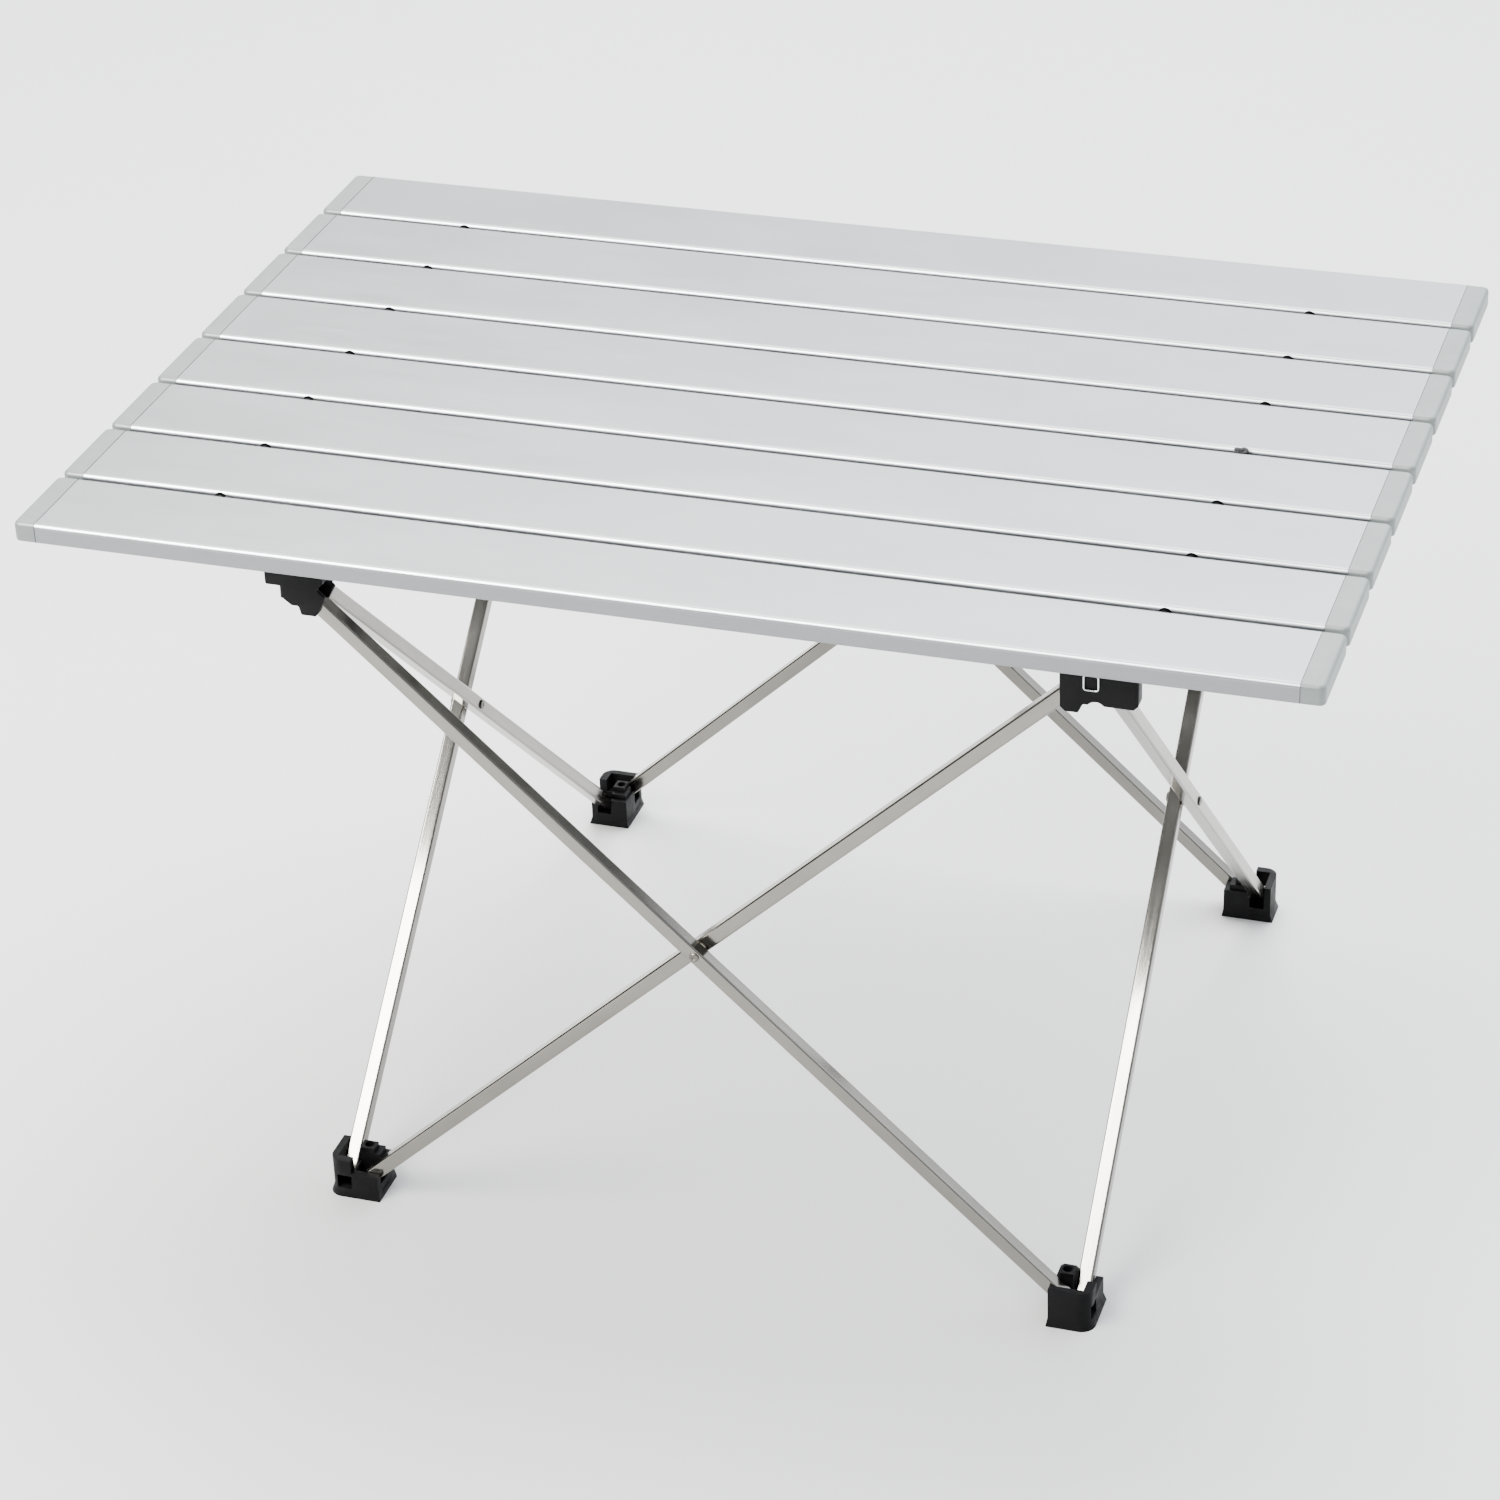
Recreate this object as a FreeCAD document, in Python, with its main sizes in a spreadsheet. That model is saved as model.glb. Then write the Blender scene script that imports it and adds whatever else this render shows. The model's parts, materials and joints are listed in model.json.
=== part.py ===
import FreeCAD, Part
import os
import re

import Sketcher

# Folding roll-top side table: eight slats on two elastic cords, clipped onto a square
# frame of four scissor pairs. Millimetres, +Z up, the floor at z = 0, and the origin
# under the middle of the table top. The long side of the slats lies along X.

SLAT_COUNT = 8

SIZES = {
    # table top
    "table_height": 406.0,
    "top_length": 670.0,
    "slat_width": 53.5,
    "slat_gap": 4.0,
    "slat_depth": 10.4,
    "slat_wall": 1.5,
    "slat_lip": 18.0,
    "slat_lip_thickness": 1.3,
    "slat_edge_radius": 2.2,
    "slat_foot_radius": 0.7,
    "cap_length": 12.0,
    "cap_corner_radius": 3.5,
    "cap_plug_length": 9.0,
    "cap_seam": 0.15,
    "plug_clearance": 0.25,
    # elastic cords and their bushes
    "cord_reach": 246.0,
    "cord_drop": 4.5,
    "cord_radius": 1.3,
    "knot_radius": 2.5,
    "bush_radius": 2.2,
    "bush_flange_radius": 3.0,
    "bush_flange": 0.5,
    "bush_length": 2.6,
    "bush_bore_radius": 1.6,
    # scissor frame
    "frame_shift": 14.0,
    "pivot_inset": 28.5,
    "foot_pivot_height": 9.0,
    "clip_rise": 27.0,
    "leg_inset": 2.1,
    "tube_size": 8.0,
    "tube_wall": 0.9,
    "tube_corner_radius": 1.2,
    "tube_tail": 3.2,
    "pin_radius": 1.5,
    "pin_clearance": 0.08,
    "rivet_radius": 1.6,
    "rivet_head_radius": 2.6,
    "rivet_head": 0.9,
    "rivet_gap": 0.15,
    "pin_recess": 0.4,
    "spacer_radius": 3.6,
    "spacer_thickness": 0.5,
    # nylon hubs
    "slot_clearance": 0.3,
    "tail_room": 0.45,
    "hub_cheek": 4.0,
    "foot_skirt_height": 5.0,
    "foot_flare": 1.6,
    "skirt_corner_radius": 8.4,
    "foot_body_height": 15.0,
    "foot_wall_height": 23.0,
    "foot_step": 3.2,
    "foot_inner_reach": 9.0,
    "foot_side_reach": 12.5,
    "foot_corner_radius": 7.0,
    "stop_reach": 5.5,
    "stop_clearance": 0.4,
    "window_sill": 4.6,
    "window_head": 13.0,
    "pocket_radius": 2.6,
    "pocket_wall": 1.4,
    "clip_cheek": 2.8,
    "clip_face": 14.0,
    "clip_drop": 7.0,
    "clip_skirt": 3.0,
    "clip_plate": 6.2,
    "clip_inner_reach": 10.5,
    "clip_body_reach": 9.0,
    "clip_outer_reach": 24.0,
    "clip_corner_radius": 1.6,
    "cheek_corner_radius": 0.9,
    "wing_reach": 17.6,
    "wing_low": 4.0,
    "neck_reach": 8.5,
    "step_drop": 6.5,
    "toe_start": 0.6,
    "toe_end": 8.6,
    "toe_drop": 11.3,
    "notch_reach": 9.6,
    "notch_height": 3.5,
    "notch_depth": 4.2,
    "face_edge": 8.4,
    "face_reach": 30.0,
    "face_low": 7.0,
    "face_slope": 2.4,
    "heel_end": 0.5,
    "heel_drop": 12.0,
    "arch_radius": 5.0,
    "arch_offset": 9.2,
    "arch_drop": 5.1,
    "top_gap": 0.3,
    # spring wire loops on two of the clips
    "loop_offset": 7.0,
    "loop_height": 9.4,
    "loop_width": 7.2,
    "loop_drop": 8.0,
    "loop_wire_radius": 0.45,
    "loop_bend_radius": 0.55,
    "loop_gap": 0.3,
    "loop_clearance": 0.08,
    "loop_turn_in": 1.4,
    "ear_width": 4.6,
    "ear_height": 2.6,
    "ear_depth": 1.9,
}

# Lengths worked out from the sheet, as expressions in its own names.
PITCH = "(slat_width + slat_gap)"
TOP_PIVOT = "(table_height - clip_rise)"
PIVOT_REACH = "((%d * PITCH - slat_gap) / 2 - pivot_inset)".replace("PITCH", PITCH) % SLAT_COUNT
HALF_TUBE = "(tube_size / 2)"
RISE = "(%s - foot_pivot_height)" % TOP_PIVOT
LEG_LENGTH = "sqrt((2 * %s)^2 + %s^2)" % (PIVOT_REACH, RISE)
LEG_ANGLE = "atan(%s / (2 * %s))" % (RISE, PIVOT_REACH)
CORD_HEIGHT = "(slat_depth - cord_drop)"
SLOT_HALF = "(tube_size / 2 + slot_clearance)"
TAIL_REACH = "(sqrt(tube_tail^2 + (tube_size / 2)^2) + tail_room)"
LEG_SPACING = "(tube_size + spacer_thickness + 2 * rivet_gap)"
INNER = "(-leg_inset)"
OUTER = "(-leg_inset - %s)" % LEG_SPACING
PLATE_TOP = "(clip_rise - slat_depth - top_gap)"
FAR = "40"
OVERCUT = "1"
FILLET_SHARE = 0.45

AXIS_TURNS = {
    "X": FreeCAD.Rotation(FreeCAD.Vector(0, 1, 0), 90),
    "Y": FreeCAD.Rotation(FreeCAD.Vector(1, 0, 0), -90),
    "Z": FreeCAD.Rotation(),
}

# The corners in turn, counter-clockwise from above, and the side that follows each one.
CORNERS = ("front_left", "front_right", "back_right", "back_left")
SIDES = ("front", "right", "back", "left")
SIGNS = {"front_left": (-1, -1), "front_right": (1, -1), "back_right": (1, 1), "back_left": (-1, 1)}

doc = FreeCAD.newDocument("FoldingSideTable")
sheet = doc.addObject("Spreadsheet::Sheet", "Sizes")
nodes = []


def fill_sheet():
    """Write the driving sizes into the spreadsheet, one alias a row."""
    for row, (alias, value) in enumerate(SIZES.items(), start=1):
        sheet.set("A%d" % row, alias)
        sheet.set("B%d" % row, str(value))
        sheet.setAlias("B%d" % row, alias)
    doc.recompute()


def bound(expression):
    """An expression in the sheet's names, as another object has to write it."""
    names = "|".join(sorted(SIZES, key=len, reverse=True))
    return re.sub(r"\b(%s)\b" % names, r"Sizes.\1", str(expression))


def size(expression):
    """The value of an expression in the sheet's names."""
    value = sheet.evalExpression(str(expression))
    return float(getattr(value, "Value", value))


def block(name, x, y, z):
    """A box between two bounds on each axis."""
    box = doc.addObject("Part::Box", name)
    for side, axis, (low, high) in (("Length", "x", x), ("Width", "y", y), ("Height", "z", z)):
        box.setExpression(side, bound("(%s) - (%s)" % (high, low)))
        box.setExpression("Placement.Base." + axis, bound(low))
    return box


def rod(name, axis, radius, ends, centre):
    """A cylinder along an axis, between two bounds, at its place on the other two axes."""
    cylinder = doc.addObject("Part::Cylinder", name)
    cylinder.Placement.Rotation = AXIS_TURNS[axis]
    cylinder.setExpression("Radius", bound(radius))
    cylinder.setExpression("Height", bound("(%s) - (%s)" % (ends[1], ends[0])))
    places = list(centre)
    places.insert("XYZ".index(axis), ends[0])
    for letter, place in zip("xyz", places):
        cylinder.setExpression("Placement.Base." + letter, bound(place))
    return cylinder


def ball(name, radius, centre):
    """A sphere at a point."""
    sphere = doc.addObject("Part::Sphere", name)
    sphere.setExpression("Radius", bound(radius))
    for letter, place in zip("xyz", centre):
        sphere.setExpression("Placement.Base." + letter, bound(place))
    return sphere


def fuse(name, parts):
    """The union of several solids."""
    union = doc.addObject("Part::MultiFuse", name)
    union.Shapes = parts
    union.Refine = True
    return union


def cut(name, base, tools):
    """A solid less the union of its tools."""
    result = doc.addObject("Part::Cut", name)
    result.Base = base
    result.Tool = tools[0] if len(tools) == 1 else fuse(name + "_tools", tools)
    result.Refine = True
    return result


def runs_along(edge, axis):
    """True for a straight edge parallel to an axis."""
    if edge.Curve.TypeId != "Part::GeomLine":
        return False
    return abs(edge.tangentAt(edge.FirstParameter).dot(axis)) > 0.999


def round_edges(name, base, rounds):
    """Fillet the edges of a solid: each round is a radius and a test of the edge."""
    doc.recompute()
    picked = []
    for index, edge in enumerate(base.Shape.Edges, start=1):
        for radius, chosen in rounds:
            if chosen(edge):
                picked.append((index, radius, radius))
                break
    fillet = doc.addObject("Part::Fillet", name)
    fillet.Base = base
    fillet.Edges = picked
    return fillet


def upright(edge):
    return runs_along(edge, FreeCAD.Vector(0, 0, 1))


def add_node(label, part, placement=None):
    """Name a finished sub-part and put it in its place."""
    part.Label = label
    if placement is not None:
        part.Placement = placement
    nodes.append(part)


def plane_of(body, role):
    return next(item for item in body.Origin.OriginFeatures if item.Role == role)


def sketch_on(body, role, name, offset=None):
    """A sketch on one of its body's own origin planes, moved along that plane's normal."""
    sketch = body.newObject("Sketcher::SketchObject", name)
    sketch.AttachmentSupport = (plane_of(body, role), [""])
    sketch.MapMode = "FlatFace"
    if offset is not None:
        sketch.setExpression("AttachmentOffset.Base.z", bound(offset))
    return sketch


def place_point(sketch, geometry, end, point):
    """Hold a point of a sketch at two expressions, measured from the sketch's origin."""
    for kind, expression in zip(("DistanceX", "DistanceY"), point):
        number = sketch.addConstraint(
            Sketcher.Constraint(kind, -1, 1, geometry, end, size(expression)))
        sketch.setExpression("Constraints[%d]" % number, bound(expression))


def draw_polygon(sketch, points):
    """A closed outline through points given as expressions."""
    first = sketch.GeometryCount
    spots = [FreeCAD.Vector(size(across), size(up), 0) for across, up in points]
    for start, finish in zip(spots, spots[1:] + spots[:1]):
        sketch.addGeometry(Part.LineSegment(start, finish), False)
    count = len(points)
    for index in range(count):
        following = first + (index + 1) % count
        sketch.addConstraint(Sketcher.Constraint("Coincident", first + index, 2, following, 1))
    for index, point in enumerate(points):
        place_point(sketch, first + index, 1, point)


def draw_circle(sketch, centre, radius):
    spot = FreeCAD.Vector(size(centre[0]), size(centre[1]), 0)
    circle = Part.Circle(spot, FreeCAD.Vector(0, 0, 1), size(radius))
    number = sketch.addGeometry(circle, False)
    place_point(sketch, number, 3, centre)
    radius_rule = sketch.addConstraint(Sketcher.Constraint("Radius", number, size(radius)))
    sketch.setExpression("Constraints[%d]" % radius_rule, bound(radius))


def pad(body, sketch, length, midplane=False):
    feature = body.newObject("PartDesign::Pad", body.Name + "_pad")
    feature.Profile = sketch
    feature.Midplane = midplane
    feature.setExpression("Length", bound(length))
    return feature


def pocket(body, sketch, length, midplane=False, reverse=False):
    """Cut a sketch into its body, and check that it took material away."""
    doc.recompute()
    before = body.Shape.Volume
    feature = body.newObject("PartDesign::Pocket", sketch.Name + "_cut")
    feature.Profile = sketch
    feature.Midplane = midplane
    feature.Reversed = reverse
    feature.setExpression("Length", bound(length))
    doc.recompute()
    if body.Shape.Volume > before - 0.01:
        raise RuntimeError("%s cuts nothing" % sketch.Name)
    return feature


def fillet_body(body, base, radius, chosen):
    """A PartDesign fillet on the edges of a feature that a test picks."""
    doc.recompute()
    names = ["Edge%d" % number
             for number, edge in enumerate(base.Shape.Edges, start=1) if chosen(edge)]
    feature = body.newObject("PartDesign::Fillet", base.Name + "_round")
    feature.Base = (base, names)
    feature.setExpression("Radius", bound(radius))
    doc.recompute()
    return feature


# ---------------------------------------------------------------- table top


def slat_place(index):
    """Where slat 1 (the back one) to slat 8 (the front one) sits, at its underside's middle."""
    across = size("%s * %s" % ((SLAT_COUNT + 1) / 2 - index, PITCH))
    return FreeCAD.Placement(FreeCAD.Vector(0, across, size("table_height - slat_depth")),
                             FreeCAD.Rotation())


def cord_sides(index):
    """Sides of a slat, +1 to the back and -1 to the front, that the cords pass through."""
    sides = []
    if index > 1:
        sides.append(1)
    if index < SLAT_COUNT:
        sides.append(-1)
    return sides


def slat(index):
    """Extruded slat: a flat top, two walls and two inward lips."""
    body = doc.addObject("PartDesign::Body", "slat%d" % index)
    profile = sketch_on(body, "YZ_Plane", "slat%d_profile" % index)
    edge, wall = "slat_width / 2", "(slat_width / 2 - slat_wall)"
    lip = "(slat_width / 2 - slat_lip)"
    right = [(edge, "0"), (edge, "slat_depth")]
    left = [("-" + edge, "slat_depth"), ("-" + edge, "0")]
    inside = [("-" + lip, "0"), ("-" + lip, "slat_lip_thickness"), ("-" + wall, "slat_lip_thickness"),
              ("-" + wall, "slat_depth - slat_wall"), (wall, "slat_depth - slat_wall"),
              (wall, "slat_lip_thickness"), (lip, "slat_lip_thickness"), (lip, "0")]
    draw_polygon(profile, right + left + inside)
    bar = pad(body, profile, "top_length - 2 * cap_length", midplane=True)
    half, depth = size(edge), size("slat_depth")

    def outer_edge(edge, height):
        spot = edge.CenterOfMass
        lengthwise = runs_along(edge, FreeCAD.Vector(1, 0, 0))
        return lengthwise and abs(abs(spot.y) - half) < 0.01 and abs(spot.z - height) < 0.01

    rounded = fillet_body(body, bar, "slat_edge_radius", lambda edge: outer_edge(edge, depth))
    fillet_body(body, rounded, "slat_foot_radius", lambda edge: outer_edge(edge, 0))
    for side in cord_sides(index):
        holes = sketch_on(body, "XZ_Plane", "slat%d_holes_%s" % (index, "bf"[side < 0]))
        for reach in ("cord_reach", "-cord_reach"):
            draw_circle(holes, (reach, CORD_HEIGHT), "bush_radius")
        pocket(body, holes, "slat_width", reverse=side < 0)
    add_node("slat_%d" % index, body, slat_place(index))


def end_caps(index):
    """The two moulded caps of a slat, each with a plug up the slat's channel."""
    prefix = "caps%d" % index
    inner_face = "(top_length / 2 - cap_length + cap_seam)"
    shell = block(prefix + "_block", (inner_face, "top_length / 2"),
                  ("-slat_width / 2", "slat_width / 2"), ("0", "slat_depth"))
    corner = min(size("cap_corner_radius"), FILLET_SHARE * size("cap_length"))
    end, half, depth = size("top_length / 2"), size("slat_width / 2"), size("slat_depth")

    def outer_corner(edge):
        return upright(edge) and abs(edge.CenterOfMass.x - end) < 0.01

    shell = round_edges(prefix + "_corners", shell, [(corner, outer_corner)])

    def top_rim(edge):
        spot = edge.CenterOfMass
        return spot.z > depth - 0.01 and spot.x > size(inner_face) + 0.01

    def bottom_rim(edge):
        spot = edge.CenterOfMass
        return spot.z < 0.01 and spot.x > size(inner_face) + 0.01

    shell = round_edges(prefix + "_shell", shell, [(size("slat_edge_radius"), top_rim),
                                                   (size("slat_foot_radius"), bottom_rim)])
    slack = "(slat_width / 2 - slat_wall - plug_clearance)"
    plug = block(prefix + "_plug", ("top_length / 2 - cap_length - cap_plug_length", inner_face),
                 ("-" + slack, slack),
                 ("slat_lip_thickness + plug_clearance", "slat_depth - slat_wall - plug_clearance"))
    right = fuse(prefix + "_right", [shell, plug])
    left = doc.addObject("Part::Mirroring", prefix + "_left")
    left.Source = right
    left.Normal = FreeCAD.Vector(1, 0, 0)
    pair = doc.addObject("Part::Compound", prefix)
    pair.Links = [right, left]
    add_node("end_caps_%d" % index, pair, slat_place(index))


def cord_bushes(index):
    """Black flanged bushes that line a slat's cord holes."""
    bushes = []
    for side in cord_sides(index):
        for end in (1, -1):
            name = "bush%d_%s%s" % (index, "bf"[side < 0], "rl"[end < 0])
            centre = ("%d * cord_reach" % end, CORD_HEIGHT)
            wall = "slat_width / 2"
            if side > 0:
                flange_ends = (wall, wall + " + bush_flange")
                shank_ends = (wall + " + bush_flange - bush_length", wall)
            else:
                flange_ends = ("-" + wall + " - bush_flange", "-" + wall)
                shank_ends = ("-" + wall, "-" + wall + " - bush_flange + bush_length")
            flange = rod(name + "_flange", "Y", "bush_flange_radius", flange_ends, centre)
            shank = rod(name + "_shank", "Y", "bush_radius", shank_ends, centre)
            bore_ends = ("0", wall + " + " + OVERCUT)
            if side < 0:
                bore_ends = ("-" + wall + " - " + OVERCUT, "0")
            bore = rod(name + "_bore", "Y", "bush_bore_radius", bore_ends, centre)
            bushes.append(cut(name, fuse(name + "_whole", [flange, shank]), [bore]))
    group = doc.addObject("Part::Compound", "bushes%d" % index)
    group.Links = bushes
    add_node("cord_bushes_%d" % index, group, slat_place(index))


def elastic_cord(label, end):
    """One cord through every slat, knotted inside the first and the last."""
    reach = "(%s * %s - slat_width / 2 + bush_length - bush_flange + knot_radius)" % (
        (SLAT_COUNT - 1) / 2, PITCH)
    level = "table_height - cord_drop"
    across = "%d * cord_reach" % end
    line = rod(label + "_line", "Y", "cord_radius", ("-" + reach, reach), (across, level))
    knots = [ball(label + "_knot_back", "knot_radius", (across, reach, level)),
             ball(label + "_knot_front", "knot_radius", (across, "-" + reach, level))]
    add_node(label, fuse(label + "_whole", [line] + knots))


# ---------------------------------------------------------------- scissor frame


def side_place(number):
    """Turn and place for one side of the frame, built as the front one about the frame's axis."""
    return FreeCAD.Placement(FreeCAD.Vector(size("frame_shift"), 0, 0),
                             FreeCAD.Rotation(FreeCAD.Vector(0, 0, 1), 90 * number))


def corner_place(number, height):
    """Turn and place for a corner's hub, built as the front left one about its pivots."""
    sign_x, sign_y = SIGNS[CORNERS[number]]
    reach = size(PIVOT_REACH)
    spot = FreeCAD.Vector(size("frame_shift") + sign_x * reach, sign_y * reach, size(height))
    return FreeCAD.Placement(spot, FreeCAD.Rotation(FreeCAD.Vector(0, 0, 1), 90 * number))


def leg(label, number, outer):
    """Square tube leg: its own X runs from the foot pivot up to the top pivot."""
    body = doc.addObject("PartDesign::Body", label + "_body")
    section = sketch_on(body, "YZ_Plane", label + "_section", "-tube_tail")
    half, bore = HALF_TUBE, "(tube_size / 2 - tube_wall)"
    for reach in (half, bore):
        draw_polygon(section, [("-" + reach, "-" + reach), (reach, "-" + reach),
                               (reach, reach), ("-" + reach, reach)])
    tube = pad(body, section, LEG_LENGTH + " + 2 * tube_tail")
    outside = size(half)
    fillet_body(body, tube, "tube_corner_radius",
                lambda edge: runs_along(edge, FreeCAD.Vector(1, 0, 0))
                and abs(edge.CenterOfMass.y) > outside - 0.01)
    holes = sketch_on(body, "XZ_Plane", label + "_holes")
    centre_hole = "rivet_radius" if outer else "rivet_radius + pin_clearance"
    draw_circle(holes, ("0", "0"), "pin_radius + pin_clearance")
    draw_circle(holes, (LEG_LENGTH, "0"), "pin_radius + pin_clearance")
    draw_circle(holes, (LEG_LENGTH + " / 2", "0"), centre_hole)
    pocket(body, holes, "2 * tube_size", midplane=True)
    slope = 180 - size(LEG_ANGLE) if outer else size(LEG_ANGLE)
    reach = size(PIVOT_REACH)
    foot = FreeCAD.Vector(reach if outer else -reach, size(OUTER if outer else INNER) - reach,
                          size("foot_pivot_height"))
    lean = FreeCAD.Placement(foot, FreeCAD.Rotation(FreeCAD.Vector(0, -1, 0), slope))
    add_node(label, body, side_place(number) * lean)


def centre_rivet(label, number):
    """Rivet through both legs of a side: set in the outer leg, free in the inner one."""
    height = "(%s + foot_pivot_height) / 2" % TOP_PIVOT
    outer_face = "(%s - %s - %s)" % (OUTER, PIVOT_REACH, HALF_TUBE)
    inner_face = "(%s - %s + %s + rivet_gap)" % (INNER, PIVOT_REACH, HALF_TUBE)
    centre = ("0", height)
    shank = rod(label + "_shank", "Y", "rivet_radius", (outer_face, inner_face), centre)
    heads = []
    for end, start, turn in (("outer", outer_face, 90), ("inner", inner_face, -90)):
        dome = doc.addObject("Part::Cone", label + "_dome_" + end)
        dome.setExpression("Radius1", bound("rivet_head_radius"))
        dome.setExpression("Radius2", bound("rivet_head_radius / 2"))
        dome.setExpression("Height", bound("rivet_head"))
        dome.Placement.Rotation = FreeCAD.Rotation(FreeCAD.Vector(1, 0, 0), turn)
        dome.setExpression("Placement.Base.y", bound(start))
        dome.setExpression("Placement.Base.z", bound(height))
        heads.append(dome)
    add_node(label, fuse(label + "_whole", [shank] + heads), side_place(number))


def centre_spacer(label, number):
    """Thin washer that keeps a side's two legs apart, on the outer leg's rivet."""
    centre = ("0", "(%s + foot_pivot_height) / 2" % TOP_PIVOT)
    face = "(%s - %s + %s)" % (OUTER, PIVOT_REACH, HALF_TUBE)
    disc = rod(label + "_disc", "Y", "spacer_radius", (face, face + " + spacer_thickness"), centre)
    hole_ends = (face + " - " + OVERCUT, face + " + 2 * " + OVERCUT)
    hole = rod(label + "_hole", "Y", "rivet_radius", hole_ends, centre)
    add_node(label, cut(label + "_whole", disc, [hole]), side_place(number))


# ---------------------------------------------------------------- feet


def foot_pins(prefix):
    """Pins of the inner leg, along Y, and of the outer leg, along X, about the pivots."""
    cheek = "(%s - %s - hub_cheek + pin_recess)" % (INNER, SLOT_HALF)
    inner = rod(prefix + "_inner_leg_pin", "Y", "pin_radius",
                (cheek, "%s + %s + hub_cheek" % (INNER, SLOT_HALF)), ("0", "0"))
    outer = rod(prefix + "_outer_leg_pin", "X", "pin_radius",
                ("%s - %s - hub_cheek + pin_recess" % (OUTER, SLOT_HALF), "-" + TAIL_REACH), ("0", "0"))
    return [inner, outer]


def foot_hub(label, number):
    """Foot that holds an inner leg along +X and an outer leg along +Y, about their pivots."""
    floor = "(-foot_pivot_height)"
    outer_face = "(%s - %s - hub_cheek)" % (OUTER, SLOT_HALF)
    front_face = "(%s - %s - hub_cheek)" % (INNER, SLOT_HALF)
    slot_floor = "(-%s)" % TAIL_REACH
    wide = (outer_face, "foot_inner_reach")
    deep = (front_face, "foot_side_reach")

    skirt = doc.addObject("Part::Wedge", label + "_skirt")
    skirt.Placement.Rotation = FreeCAD.Rotation(FreeCAD.Vector(1, 0, 0), 90)
    for name, value in (("Xmin", outer_face + " - foot_flare"),
                        ("Xmax", "foot_inner_reach + foot_flare / 2"),
                        ("X2min", outer_face), ("X2max", "foot_inner_reach"),
                        ("Zmin", "-foot_side_reach - foot_flare / 2"),
                        ("Zmax", "-(%s) + foot_flare" % front_face),
                        ("Z2min", "-foot_side_reach"), ("Z2max", "-(%s)" % front_face),
                        ("Ymin", floor), ("Ymax", floor + " + foot_skirt_height")):
        skirt.setExpression(name, bound(value))
    corner_x, corner_y = size(outer_face + " + foot_flare"), size(front_face + " + foot_flare")

    def outer_corner(edge):
        return edge.CenterOfMass.x < corner_x and edge.CenterOfMass.y < corner_y

    skirt = round_edges(label + "_skirt_round", skirt,
                        [(size("skirt_corner_radius"), outer_corner)])
    base = block(label + "_base", wide, deep, (floor, floor + " + foot_body_height"))
    base = round_edges(label + "_base_round", base, [(size("foot_corner_radius"), outer_corner)])
    outer_wall = block(label + "_outer_wall", (outer_face, "%s + %s" % (OUTER, SLOT_HALF)), deep,
                       (floor, floor + " + foot_wall_height"))
    outer_wall = round_edges(label + "_outer_wall_round", outer_wall,
                             [(size("foot_corner_radius"), outer_corner)])
    post_side = "(%s + %s)" % (INNER, SLOT_HALF)
    post_end = "(-%s)" % TAIL_REACH
    steps = []
    for step in range(3):
        steps.append(block(label + "_post_%d" % step,
                           (post_end, "foot_inner_reach - %d * foot_step" % step),
                           (post_side, "foot_side_reach - %d * foot_step / 2" % step),
                           (floor, floor + " + foot_body_height + %d * foot_step" % (step + 1))))
    whole = fuse(label + "_mass", [skirt, base, outer_wall] + steps)

    side_slot = block(label + "_side_slot",
                      ("%s - %s" % (OUTER, SLOT_HALF), "%s + %s" % (OUTER, SLOT_HALF)),
                      ("-%s" % TAIL_REACH, FAR), (slot_floor, FAR))
    front_slot = block(label + "_front_slot", ("-%s" % TAIL_REACH, FAR),
                       ("%s - %s" % (INNER, SLOT_HALF), post_side), (slot_floor, FAR))
    window = block(label + "_window",
                   ("%s - %s" % (OUTER, SLOT_HALF), "%s + %s" % (OUTER, SLOT_HALF)),
                   ("-" + FAR, "0"), (floor + " + window_sill", floor + " + window_head"))
    pocket_spot = ("(%s + foot_inner_reach) / 2 - foot_step" % post_end,
                   "%s + pocket_radius + pocket_wall" % post_side)
    well = rod(label + "_well", "Z", "pocket_radius", ("0", FAR), pocket_spot)
    hub = cut(label + "_cut", whole,
              [side_slot, front_slot, window, well] + foot_pins(label + "_bore"))

    stop_top = "(stop_reach * tan(%s) - %s / cos(%s) - stop_clearance)" % (
        LEG_ANGLE, HALF_TUBE, LEG_ANGLE)
    front_stop = block(label + "_front_stop", ("stop_reach", "foot_inner_reach"),
                       ("%s - %s" % (INNER, SLOT_HALF), post_side), (floor, stop_top))
    side_stop = block(label + "_side_stop",
                      ("%s - %s" % (OUTER, SLOT_HALF), "%s + %s" % (OUTER, SLOT_HALF)),
                      ("stop_reach", "foot_side_reach"), (floor, stop_top))
    add_node(label, fuse(label + "_whole", [hub, front_stop, side_stop]),
             corner_place(number, "foot_pivot_height"))


def pin_pair(label, pins, place):
    pair = doc.addObject("Part::Compound", label + "_pair")
    pair.Links = pins
    add_node(label, pair, place)


# ---------------------------------------------------------------- top clips


def clip_pins(prefix):
    """Pins of the outer leg, along Y, and of the inner leg, along X, about the pivots."""
    outer = rod(prefix + "_outer_leg_pin", "Y", "pin_radius",
                ("%s - %s - clip_cheek + pin_recess" % (OUTER, SLOT_HALF), "-" + TAIL_REACH), ("0", "0"))
    inner = rod(prefix + "_inner_leg_pin", "X", "pin_radius",
                ("%s - %s - hub_cheek + pin_recess" % (INNER, SLOT_HALF),
                 "%s + %s + hub_cheek - pin_recess" % (INNER, SLOT_HALF)), ("0", "0"))
    return [outer, inner]


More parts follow.
